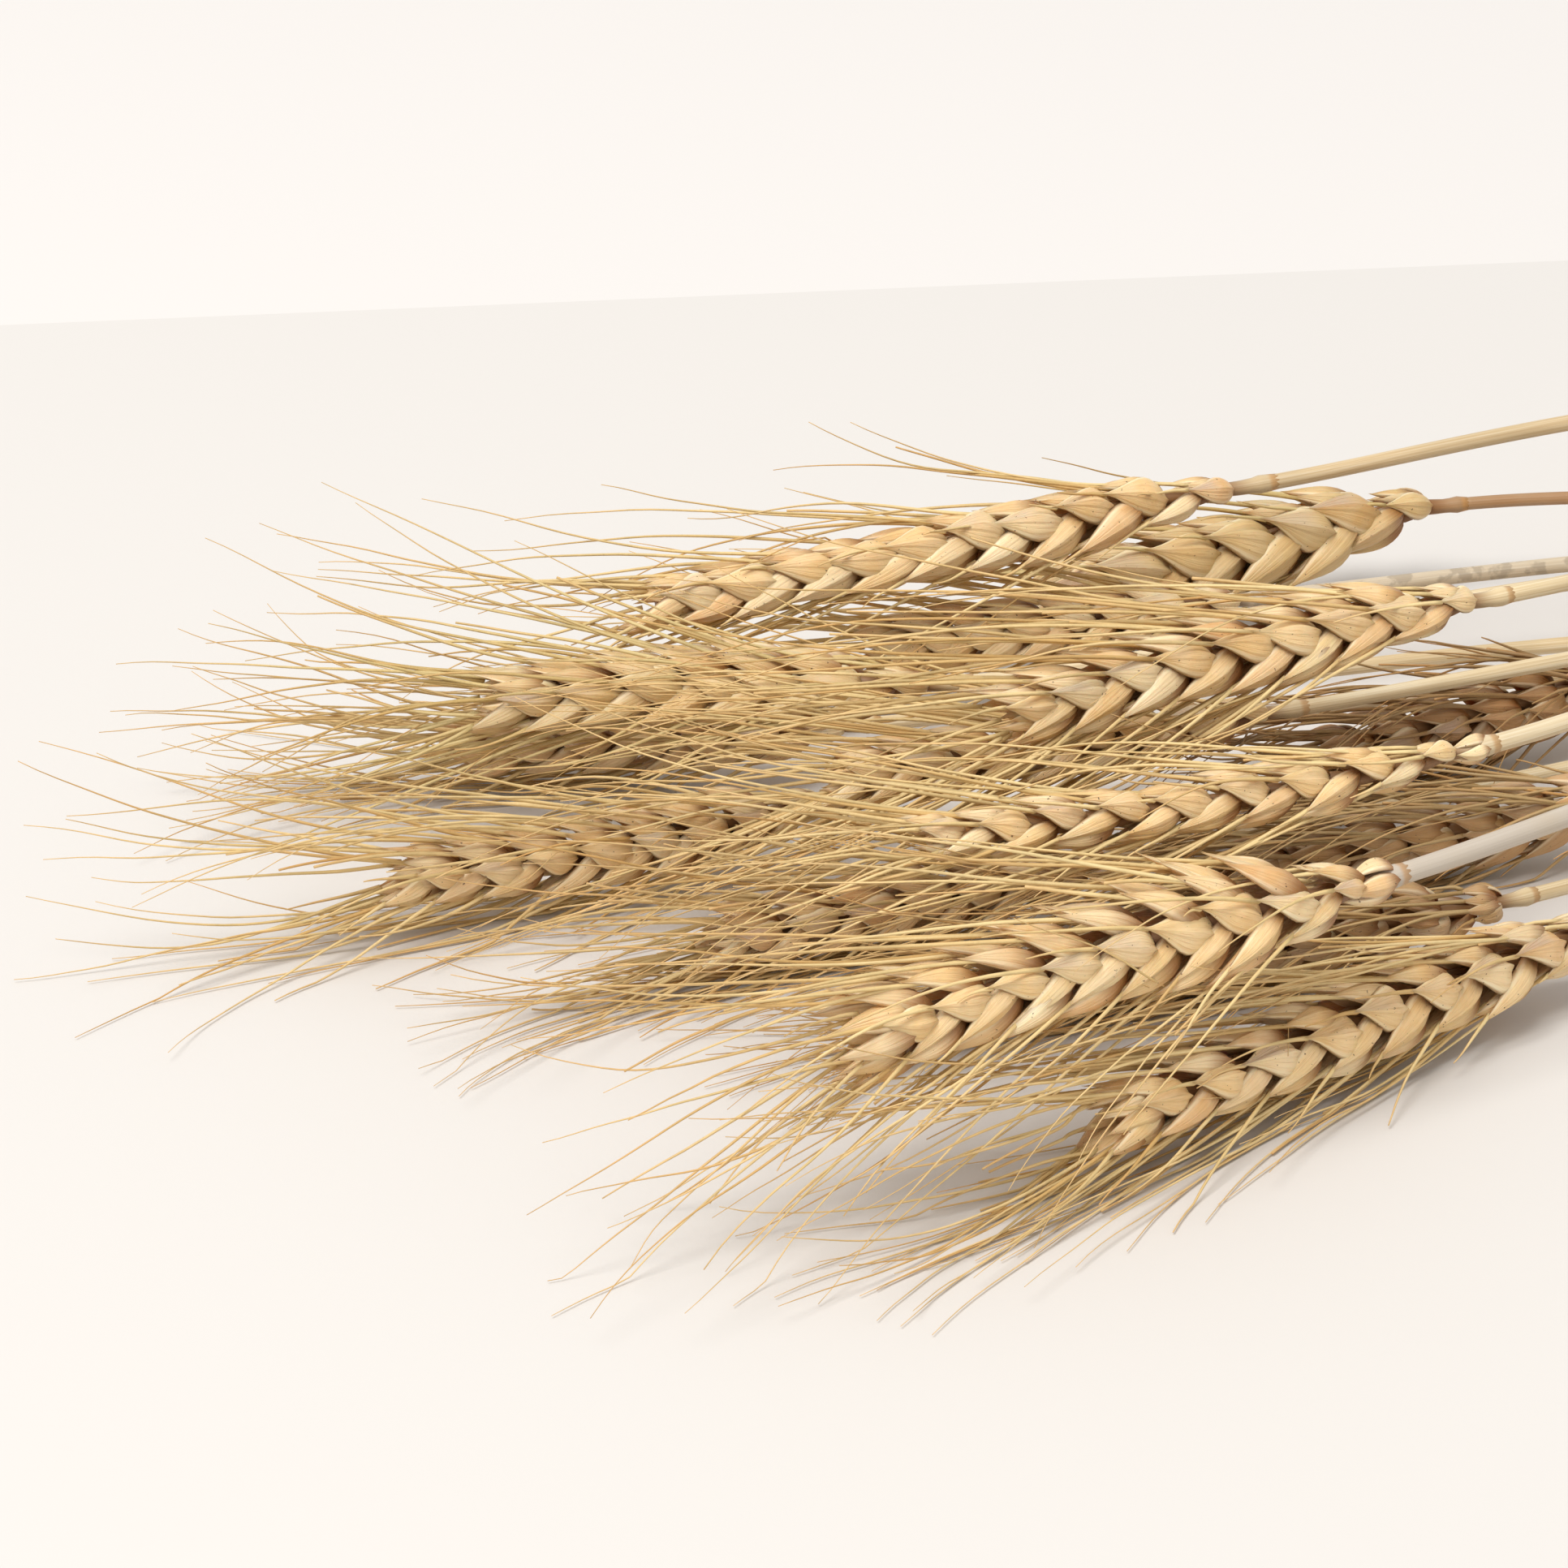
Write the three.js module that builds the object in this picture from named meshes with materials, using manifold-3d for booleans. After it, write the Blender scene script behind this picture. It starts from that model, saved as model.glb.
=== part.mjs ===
// A tied bundle of dried bearded wheat, lying on a table: fifteen straws, each with its ear, and a twine tie.
// Millimetres. +X runs from the ears to the cut ends, +Z is up from the table.
import * as THREE from "three";
import { mergeVertices } from "three/addons/utils/BufferGeometryUtils.js";
import Module from "manifold-3d";

// Stalks, laid out with the middle of the tie at x = 0, y = 0 and the table at z = 0.
// tip and neck are the two ends of the ear, bow is how far its middle is pushed over in y and z, via is where
// the straw passes on its way to the tie, slot is its place in the tie in pitches of the packed straws, and
// straw is its radius. roll turns the two rows of spikelets round the ear, in degrees, stout is their size,
// and splay is how far they lean out near the neck, in degrees. awn is the length of the longest awns, fan is
// how far they spread, and sweep is how far all of them lean in y and z.
const STALKS = [
  { tip: [-304, 66, 25], neck: [-204, 54, 33], bow: [0, 0], via: [[-110, 41, 36]],
    slot: [1.5, 1], straw: 1.4, roll: 115, spikelets: 20, stout: 1.12, splay: 19,
    awn: 62, fan: 0.14, sweep: [0.05, 0.2] },
  { tip: [-230, 77, 10], neck: [-160, 71, 15], bow: [0, 0], via: [[-90, 35, 17]],
    slot: [1, 0], straw: 1.2, roll: 110, spikelets: 14, stout: 1.3, splay: 25,
    awn: 60, fan: 0.14, sweep: [0, 0.05] },
  { tip: [-264, 66, 12], neck: [-206, 50, 16], bow: [0, 0], via: [[-110, 28, 17]],
    slot: [1.5, -1], straw: 1.4, roll: 100, spikelets: 15, stout: 1.0, splay: 24,
    awn: 62, fan: 0.2, sweep: [0, 0] },
  { tip: [-279, -10, 36], neck: [-202, -14, 42], bow: [0, 1], via: [[-120, -6, 37]],
    slot: [0, 2], straw: 1.4, roll: 112, spikelets: 17, stout: 1.15, splay: 23,
    awn: 80, fan: 0.12, sweep: [0.05, 0.1] },
  { tip: [-332, 50, 23], neck: [-271, 20, 27], bow: [1, 1], via: [[-160, 13, 27]],
    slot: [0.5, 1], straw: 1.3, roll: 95, spikelets: 14, stout: 1.15, splay: 22,
    awn: 64, fan: 0.28, sweep: [0.1, 0.12] },
  { tip: [-215, 10, 9], neck: [-154, 14, 10], bow: [0, 0], via: [[-80, 8, 9]],
    slot: [0, 0], straw: 1.3, roll: 80, spikelets: 13, stout: 1.05, splay: 27,
    awn: 60, fan: 0.16, sweep: [0, 0] },
  { tip: [-296, 12, 20], neck: [-227, 0, 23], bow: [0, 0], via: [[-130, 2, 20]],
    slot: [-0.5, 1], straw: 1.3, roll: 105, spikelets: 16, stout: 1.0, splay: 24,
    awn: 70, fan: 0.16, sweep: [0.05, 0.05] },
  { tip: [-304, -32, 32], neck: [-224, -49, 38], bow: [0, -2], via: [[-140, -30, 36]],
    slot: [-1, 2], straw: 1.5, roll: 118, spikelets: 17, stout: 0.92, splay: 19,
    awn: 64, fan: 0.2, sweep: [0.05, 0.14] },
  { tip: [-356, 28, 9], neck: [-286, 25, 9], bow: [-2, 0], via: [[-190, 27, 7], [-110, 14, 6]],
    slot: [0.5, -1], straw: 1.3, roll: 90, spikelets: 16, stout: 1.0, splay: 24,
    awn: 66, fan: 0.28, sweep: [-0.04, 0.04] },
  { tip: [-329, -71, 26], neck: [-251, -72, 34], bow: [0, 1], via: [[-150, -44, 30]],
    slot: [-1.5, 1], straw: 1.7, roll: 106, spikelets: 18, stout: 1.25, splay: 26,
    awn: 64, fan: 0.36, sweep: [-0.12, 0] },
  { tip: [-297, -76, 8], neck: [-201, -53, 9], bow: [0, 0], via: [[-120, -32, 6]],
    slot: [-1.5, -1], straw: 1.5, roll: 106, spikelets: 18, stout: 1.2, splay: 21,
    awn: 72, fan: 0.28, sweep: [-0.06, 0.04] },
  { tip: [-283, -36, 8], neck: [-212, -42, 9], bow: [0, 0], via: [[-130, -24, 5]],
    slot: [-1, -2], straw: 1.3, roll: 60, spikelets: 15, stout: 1.0, splay: 27,
    awn: 70, fan: 0.16, sweep: [0, 0] },
  { tip: [-248, -17, 8], neck: [-173, -21, 9], bow: [0, 0], via: [[-90, -10, 6]],
    slot: [-1, 0], straw: 1.4, roll: 70, spikelets: 16, stout: 1.0, splay: 27,
    awn: 64, fan: 0.14, sweep: [0, 0] },
  { tip: [-321, -5, 8], neck: [-257, -9, 9], bow: [0, 0], via: [[-180, -3, 6], [-90, -1, 5]],
    slot: [-0.5, -1], straw: 1.3, roll: 85, spikelets: 14, stout: 1.0, splay: 25,
    awn: 64, fan: 0.2, sweep: [0, 0] },
  { tip: [-331, 67, 8], neck: [-273, 47, 9], bow: [0, 0], via: [[-170, 37, 6], [-90, 19, 5]],
    slot: [0, -2], straw: 1.3, roll: 75, spikelets: 13, stout: 1.0, splay: 25,
    awn: 62, fan: 0.2, sweep: [0, 0] },
];

// Straws: cut square, at uneven lengths. They run almost level through the tie, as far as TIE_HOLD on both
// sides of it, where they are TIE_EASE times as far apart as in it, and CUT_SPREAD times at their cut ends.
const STRAW_SIDES = 5;
const STRAW_STEPS = 13;
const STRAW_PITCH = 3.4;
const STRAW_LOWEST = 1.75;
const TIE_HOLD = 24;
const TIE_EASE = 1.15;
const CUT_REACH = 92;
const CUT_UNEVEN = 22;
const CUT_SPREAD = 2.2;

// Tie: turns of twine side by side, with a small flat where they press on the table.
const TIE_GAP = 0.55;
const TWINE = 2;
const TIE_TURNS = 4;
const TIE_SIDES = 16;
const TIE_FLAT = 0.4;
const TURN_CROWN = 0.4;
const TURN_GROOVE = 0.45;

// Ear: a slim core and, along it, flattened spikelets set left and right in turn, each forked into two tips.
const CORE_RADIUS = 2;
const CORE_SIDES = 4;
const NECK_GAP = 0.3;
const SPIKELET_LENGTH = 11;
const SPIKELET_HALF_WIDTH = 4.4;
const SPIKELET_DEPTH = 2.3;
const TIP_APART = 0.62;
const SPLAY_CLOSING = 0.45;
const SPLAY_DRAW = 6;
const SUNK = 0.3;
const FIRST_SPIKELET = 0.05;
const LAST_SPIKELET = 0.9;
const CORE_STATIONS = [0, 0.1, 0.3, 0.5, 0.7, 0.9];
const NECK_SHARE = 0.65;
const SMALL_FOOT = { scale: 0.5, until: 0.16 };
const SMALL_TIP = { scale: 0.78, from: 0.75 };

// Awns: the long bristles on the husk tips. Each draws its own share, between the two given, for its length,
// for its spread away from the core, for its spread to the spikelet's side and for its rise or droop.
const AWN_RADIUS = 0.42;
const AWN_TAPER = 0.5;
const AWN_STATIONS = [0, 0.45];
const AWN_SUNK = 0.4;
const AWN_LENGTHS = [0.8, 1.15];
const AWN_OUTWARD = [0.2, 1.5];
const AWN_SIDEWAYS = [0.1, 1.2];
const AWN_HEAVE = [-0.14, 0.06];
const AWN_CLEARANCE = 0.25;
const AWN_FLOOR = 0.45;
const MOST_AWNS = 10;
const EVEN_STEP = 0.618;

const DEGREE = Math.PI / 180;
const UP = new THREE.Vector3(0, 0, 1);

// Steps in which a stalk's line is measured: a whole number for each of its 8 or 9 stretches.
const LINE_DIVISIONS = 720;

const wasm = await Module();
wasm.setup();

// A repeatable draw from 0 to 1 for three whole numbers.
function noise(a, b, c) {
  const x = Math.sin(a * 127.1 + b * 311.7 + c * 74.7) * 43758.5453;
  return x - Math.floor(x);
}

function vector(p) {
  return new THREE.Vector3(p[0], p[1], p[2]);
}

// The place of a straw in the tie, across and above its middle.
function slotPlace(stalk) {
  return new THREE.Vector2(stalk.slot[0], stalk.slot[1] * Math.sin(60 * DEGREE)).multiplyScalar(STRAW_PITCH);
}

// Inner radius of the twine, and height of the middle of the tie above the table.
const TIE_RADIUS = Math.max(...STALKS.map((stalk) => slotPlace(stalk).length() + stalk.straw)) + TIE_GAP;
const TIE_HEIGHT = TIE_RADIUS + TWINE - TIE_FLAT;

// The line of a whole stalk, from the tip of its ear through the tie to its cut end.
function stalkLine(stalk, index) {
  const tip = vector(stalk.tip);
  const neck = vector(stalk.neck);
  const middle = tip.clone().add(neck).multiplyScalar(0.5);
  middle.y += stalk.bow[0];
  middle.z += stalk.bow[1];
  const slot = slotPlace(stalk);
  const passing = (x, spread) =>
    new THREE.Vector3(x, slot.x * spread, Math.max(STRAW_LOWEST, TIE_HEIGHT + slot.y * spread));
  const reach = CUT_REACH - CUT_UNEVEN * noise(index, 1, 1);
  const hold = [passing(-TIE_HOLD, TIE_EASE), passing(0, 1), passing(TIE_HOLD, TIE_EASE)];
  const points = [tip, middle, neck, ...stalk.via.map(vector), ...hold, passing(reach, CUT_SPREAD)];
  const line = new THREE.CatmullRomCurve3(points, false, "centripetal");
  line.arcLengthDivisions = LINE_DIVISIONS;
  return line;
}

// A closed body lofted from one end point through rings of points to another end point.
function loft(sides, start, rings, end) {
  const geometry = new THREE.SphereGeometry(1, sides, rings.length + 1);
  const position = geometry.attributes.position;
  const rows = [() => start, ...rings, () => end];
  rows.forEach((row, y) => {
    for (let x = 0; x <= sides; x += 1) {
      const p = row((x % sides) * ((2 * Math.PI) / sides));
      position.setXYZ(y * (sides + 1) + x, p.x, p.y, p.z);
    }
  });
  return geometry;
}

// A round ring about a point, across the two directions u and v.
function ring(centre, u, v, radius) {
  return (angle) =>
    centre
      .clone()
      .addScaledVector(u, radius * Math.cos(angle))
      .addScaledVector(v, radius * Math.sin(angle));
}

// A closed geometry as a solid, turned so that its faces point out.
function solid(geometry) {
  geometry.deleteAttribute("normal");
  geometry.deleteAttribute("uv");
  const merged = mergeVertices(geometry);
  const triVerts = new Uint32Array(merged.index.array);
  const vertProperties = new Float32Array(merged.attributes.position.array);
  const made = new wasm.Manifold(new wasm.Mesh({ numProp: 3, vertProperties, triVerts }));
  if (made.volume() > 0) return made;
  triVerts.reverse();
  return new wasm.Manifold(new wasm.Mesh({ numProp: 3, vertProperties, triVerts }));
}

// The largest body of a fused solid, with any sealed hollow filled and any scrap dropped.
function mainBody(fused) {
  return fused.decompose().reduce((best, body) => (body.volume() > best.volume() ? body : best));
}

function geometryOf(body) {
  const mesh = body.getMesh();
  const geometry = new THREE.BufferGeometry();
  geometry.setAttribute("position", new THREE.BufferAttribute(new Float32Array(mesh.vertProperties), 3));
  geometry.setIndex(new THREE.BufferAttribute(new Uint32Array(mesh.triVerts), 1));
  geometry.computeVertexNormals();
  return geometry;
}

// The neck is the third point of a stalk's line: this is the line's parameter there.
function neckParameter(line) {
  return 2 / (line.points.length - 1);
}

// Where the ear's line is at share e of the way from neck to tip, with its along, row and face directions.
function earFrame(line, e, roll) {
  const t = neckParameter(line) * (1 - e);
  const along = line.getTangent(t).negate();
  const level = UP.clone().cross(along).normalize();
  const over = along.clone().cross(level);
  const turn = roll * DEGREE;
  const row = level.clone().multiplyScalar(Math.cos(turn)).addScaledVector(over, Math.sin(turn));
  const face = over.clone().multiplyScalar(Math.cos(turn)).addScaledVector(level, -Math.sin(turn));
  return { at: line.getPoint(t), along, row, face };
}

// Husks are small at the foot of the ear, full in its middle and a little smaller at its tip.
function huskScale(e) {
  const foot = THREE.MathUtils.lerp(SMALL_FOOT.scale, 1, Math.min(1, e / SMALL_FOOT.until));
  const past = Math.max(0, (e - SMALL_TIP.from) / (1 - SMALL_TIP.from));
  const tip = THREE.MathUtils.lerp(1, SMALL_TIP.scale, past);
  return foot * tip;
}

// The spikelets of one ear, each with its place, directions, sizes and the two tips that awns may stand on.
function spikeletList(stalk, index, line) {
  const list = [];
  for (let k = 0; k < stalk.spikelets; k += 1) {
    const e = FIRST_SPIKELET + ((LAST_SPIKELET - FIRST_SPIKELET) * k) / (stalk.spikelets - 1);
    const { at, along, row, face } = earFrame(line, e, stalk.roll);
    const side = k % 2 === 0 ? 1 : -1;
    const out = row.clone().multiplyScalar(side);
    const splay = (stalk.splay * (1 - SPLAY_CLOSING * e) + SPLAY_DRAW * (noise(index, k, 1) - 0.5)) * DEGREE;
    const lean = along.clone().multiplyScalar(Math.cos(splay)).addScaledVector(out, Math.sin(splay));
    const back = out.clone().multiplyScalar(Math.cos(splay)).addScaledVector(along, -Math.sin(splay));
    const scale = huskScale(e) * stalk.stout;
    const foot = at.clone().addScaledVector(out, CORE_RADIUS * SUNK);
    const place = (lengthwise, sideways, outward) =>
      foot
        .clone()
        .addScaledVector(lean, lengthwise * SPIKELET_LENGTH * scale)
        .addScaledVector(face, sideways * SPIKELET_HALF_WIDTH * scale)
        .addScaledVector(back, outward * SPIKELET_DEPTH * scale);
    const tips = [1, -1].map((j) => place(1, j * TIP_APART, 0));
    list.push({ k, e, foot, place, lean, along, out, face, tips });
  }
  return list;
}

// A spikelet: round near its foot, flattened, and forked into two husk tips.
function spikeletSolid(spikelet) {
  const { place, tips } = spikelet;
  const turn = (rows) => (angle) => rows[Math.round(angle / (90 * DEGREE)) % 4];
  const belly = [place(0.36, 1, 0), place(0.32, 0, 1), place(0.36, -1, 0), place(0.4, 0, -0.5)];
  const fork = [tips[0], place(0.74, 0, 0.55), tips[1], place(0.74, 0, -0.4)];
  return solid(loft(4, spikelet.foot, [turn(belly), turn(fork)], place(0.72, 0, 0.1)));
}

// Awns are short at the foot of the ear, longest past its middle and a little shorter again at its tip.
function awnShare(e) {
  return 0.55 + 0.45 * Math.sin(Math.PI * (0.15 + 0.75 * e));
}

// The line of an awn: it leaves its husk tip the way the husk leans and swings round to the ear's own way.
function awnLine(stalk, index, spikelet, j) {
  const { k, e, foot, lean, along, out, face, tips } = spikelet;
  const draw = ([least, most], n) => THREE.MathUtils.lerp(least, most, noise(index, k, n + 3 * j));
  const start = tips[j > 0 ? 0 : 1].clone().lerp(foot, AWN_SUNK);
  const length = stalk.awn * awnShare(e) * draw(AWN_LENGTHS, 10);
  const last = along
    .clone()
    .addScaledVector(out, stalk.fan * draw(AWN_OUTWARD, 20))
    .addScaledVector(face, stalk.fan * j * draw(AWN_SIDEWAYS, 30));
  last.y += stalk.sweep[0];
  last.z += stalk.sweep[1] + draw(AWN_HEAVE, 40);
  last.normalize();
  const free = (t) =>
    start
      .clone()
      .addScaledVector(lean, length * (t - (t * t) / 2))
      .addScaledVector(last, (length * t * t) / 2);
  const lift = Math.max(0, AWN_FLOOR - free(1).z);
  return (t) => {
    const at = free(t);
    at.z = Math.max(AWN_FLOOR, at.z + lift * t * t);
    return at;
  };
}

function awnSolid(spikelet, line) {
  const { out, face } = spikelet;
  const rings = AWN_STATIONS.map((t) => ring(line(t), out, face, AWN_RADIUS * (1 - AWN_TAPER * t)));
  return solid(loft(3, line(0), rings, line(1)));
}

// The slim core that the spikelets stand on, starting just clear of the straw.
function coreSolid(stalk, line) {
  const rings = CORE_STATIONS.map((e) => {
    const { at, along, row, face } = earFrame(line, e, stalk.roll);
    if (e === 0) at.addScaledVector(along, NECK_GAP);
    const share = e === 0 ? NECK_SHARE : huskScale(e);
    return ring(at, row, face, CORE_RADIUS * share * stalk.stout);
  });
  const neck = earFrame(line, 0, stalk.roll);
  const start = neck.at.addScaledVector(neck.along, NECK_GAP);
  return solid(loft(CORE_SIDES, start, rings, line.getPoint(0)));
}

// The straw from the neck of its ear to its cut end, in steps of equal length.
function strawSolid(stalk, line) {
  const lengths = line.getLengths(LINE_DIVISIONS);
  const neck = lengths[Math.round(neckParameter(line) * LINE_DIVISIONS)] / lengths[LINE_DIVISIONS];
  const steps = Array.from({ length: STRAW_STEPS + 1 }, (_, i) => i / STRAW_STEPS);
  const shares = steps.map((step) => THREE.MathUtils.lerp(neck, 1, step));
  const rings = shares.map((share) => {
    const along = line.getTangentAt(share);
    const level = UP.clone().cross(along).normalize();
    return ring(line.getPointAt(share), level, along.cross(level), stalk.straw);
  });
  return solid(loft(STRAW_SIDES, line.getPointAt(neck), rings, line.getPointAt(1)));
}

// The tie: a closed ring of rounded turns, pressed flat on the table.
function tieSolid() {
  const outer = TIE_RADIUS + TWINE;
  const low = (-TIE_TURNS * TWINE) / 2;
  const profile = [new THREE.Vector2(TIE_RADIUS, low)];
  for (let turn = 0; turn < TIE_TURNS; turn += 1) {
    const middle = low + (turn + 0.5) * TWINE;
    const last = turn === TIE_TURNS - 1;
    profile.push(new THREE.Vector2(outer, middle - (TURN_CROWN * TWINE) / 2));
    profile.push(new THREE.Vector2(outer, middle + (TURN_CROWN * TWINE) / 2));
    profile.push(new THREE.Vector2(last ? TIE_RADIUS : outer - TURN_GROOVE, middle + TWINE / 2));
  }
  profile.push(profile[0].clone());
  const turns = new THREE.LatheGeometry(profile, TIE_SIDES).rotateZ(-90 * DEGREE).translate(0, 0, TIE_HEIGHT);
  const table = new THREE.BoxGeometry(4 * outer, 4 * outer, outer).translate(0, 0, -outer / 2);
  return solid(turns).subtract(solid(table));
}

function mesh(name, body, material) {
  const made = new THREE.Mesh(geometryOf(body), material);
  made.name = name;
  return made;
}

const straw = new THREE.MeshStandardMaterial({ color: "#cdbb98", roughness: 0.55, metalness: 0 });
const husk = new THREE.MeshStandardMaterial({ color: "#d9b67c", roughness: 0.6, metalness: 0 });
const twine = new THREE.MeshStandardMaterial({ color: "#a98a5b", roughness: 0.9, metalness: 0 });

const lines = STALKS.map(stalkLine);
const straws = STALKS.map((stalk, i) => strawSolid(stalk, lines[i]));
const spikelets = STALKS.map((stalk, i) => spikeletList(stalk, i, lines[i]));
const bare = STALKS.map((stalk, i) =>
  spikelets[i].reduce((body, spikelet) => body.add(spikeletSolid(spikelet)), coreSolid(stalk, lines[i])),
);

// Awns are tried in turn on every ear, spread evenly along it, and one is kept where it touches nothing else.
const awns = STALKS.map(() => []);
function runsClear(index, awn) {
  const clear = (body) => awn.minGap(body, AWN_CLEARANCE) >= AWN_CLEARANCE;
  const others = bare.filter((_, i) => i !== index);
  return straws.every(clear) && others.every(clear) && awns.every((placed) => placed.every(clear));
}
const waiting = STALKS.map((stalk, i) =>
  spikelets[i]
    .flatMap((spikelet) => [1, -1].map((j) => ({ spikelet, j })))
    .map((tip) => ({ ...tip, turn: (tip.spikelet.k * EVEN_STEP + (tip.j > 0 ? EVEN_STEP / 2 : 0)) % 1 }))
    .sort((p, q) => p.turn - q.turn),
);
for (let round = 0; waiting.some((list) => round < list.length); round += 1) {
  STALKS.forEach((stalk, i) => {
    const next = waiting[i][round];
    if (!next || awns[i].length >= MOST_AWNS) return;
    const awn = awnSolid(next.spikelet, awnLine(stalk, i, next.spikelet, next.j));
    if (runsClear(i, awn)) awns[i].push(awn);
  });
}

const bundle = new THREE.Group();
STALKS.forEach((stalk, i) => {
  const number = String(i + 1).padStart(2, "0");
  const ear = mainBody(awns[i].reduce((body, awn) => body.add(awn), bare[i]));
  bundle.add(mesh("ear_" + number, ear, husk));
  bundle.add(mesh("straw_" + number, straws[i], straw));
});
bundle.add(mesh("twine_tie", tieSolid(), twine));

// The origin is on the table, below the middle of the whole bundle.
const bounds = new THREE.Box3().setFromObject(bundle);
const centre = bounds.getCenter(new THREE.Vector3());
bundle.position.set(-centre.x, -centre.y, -bounds.min.z);

export default bundle;
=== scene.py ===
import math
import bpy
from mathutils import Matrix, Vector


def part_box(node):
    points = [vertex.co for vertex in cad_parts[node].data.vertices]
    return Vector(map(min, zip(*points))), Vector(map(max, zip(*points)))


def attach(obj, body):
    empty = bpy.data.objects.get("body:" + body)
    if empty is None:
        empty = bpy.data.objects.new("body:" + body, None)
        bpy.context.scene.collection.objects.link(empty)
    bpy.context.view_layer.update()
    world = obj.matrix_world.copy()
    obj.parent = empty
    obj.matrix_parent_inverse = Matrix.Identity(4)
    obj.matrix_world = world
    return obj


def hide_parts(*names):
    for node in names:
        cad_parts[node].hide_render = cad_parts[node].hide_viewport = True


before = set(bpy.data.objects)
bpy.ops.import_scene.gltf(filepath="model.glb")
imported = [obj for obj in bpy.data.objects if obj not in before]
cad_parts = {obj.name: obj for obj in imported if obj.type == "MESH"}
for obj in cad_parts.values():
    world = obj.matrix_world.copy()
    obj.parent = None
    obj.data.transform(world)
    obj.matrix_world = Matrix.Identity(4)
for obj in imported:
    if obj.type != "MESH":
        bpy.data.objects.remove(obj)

# A tied bundle of dried bearded wheat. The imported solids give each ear, straw and the tie its place, and
# this script puts the fine husks, awns, straws and wound twine in their stead, on a pale floor.
# Shapes are worked out in millimetres with the middle of the tie at x = 0, y = 0 and the table at z = 0.
from types import SimpleNamespace

import bpy
import numpy as np
from mathutils import Vector
from numpy.linalg import norm

MM = 0.001
DEGREE = math.pi / 180
UP = np.array([0.0, 0.0, 1.0])
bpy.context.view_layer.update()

# Stalks, as the source lays them out: tip and neck of the ear, bow of its middle, points that the straw
# passes on its way to its place in the tie, its radius, roll of the ear's two rows of spikelets, their
# number, size and splay, and length, fan and sweep of the awns. The rest are looks: awned is the share of
# the outer, middle and inner florets that have an awn, where above 1 is for more pairs of inner ones, beak
# is the longest glume beak and how far they sink, warm is from olive (-1) to orange (1), stem is the
# straw's colour from grey (-1) to brown (1), plate is the size of the glumes, and open and flare are how
# far the husks stand out on the ear's upper side and at its top.
# The high warmth of the low ears 6 and 12 to 15, which lie under the others, is partly painted shade.
PLAIN = dict(bow=(0, 0), straw=1.3, stout=1.0, sweep=(0, 0), plate=1.0, open=0.2, flare=0.1)
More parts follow.
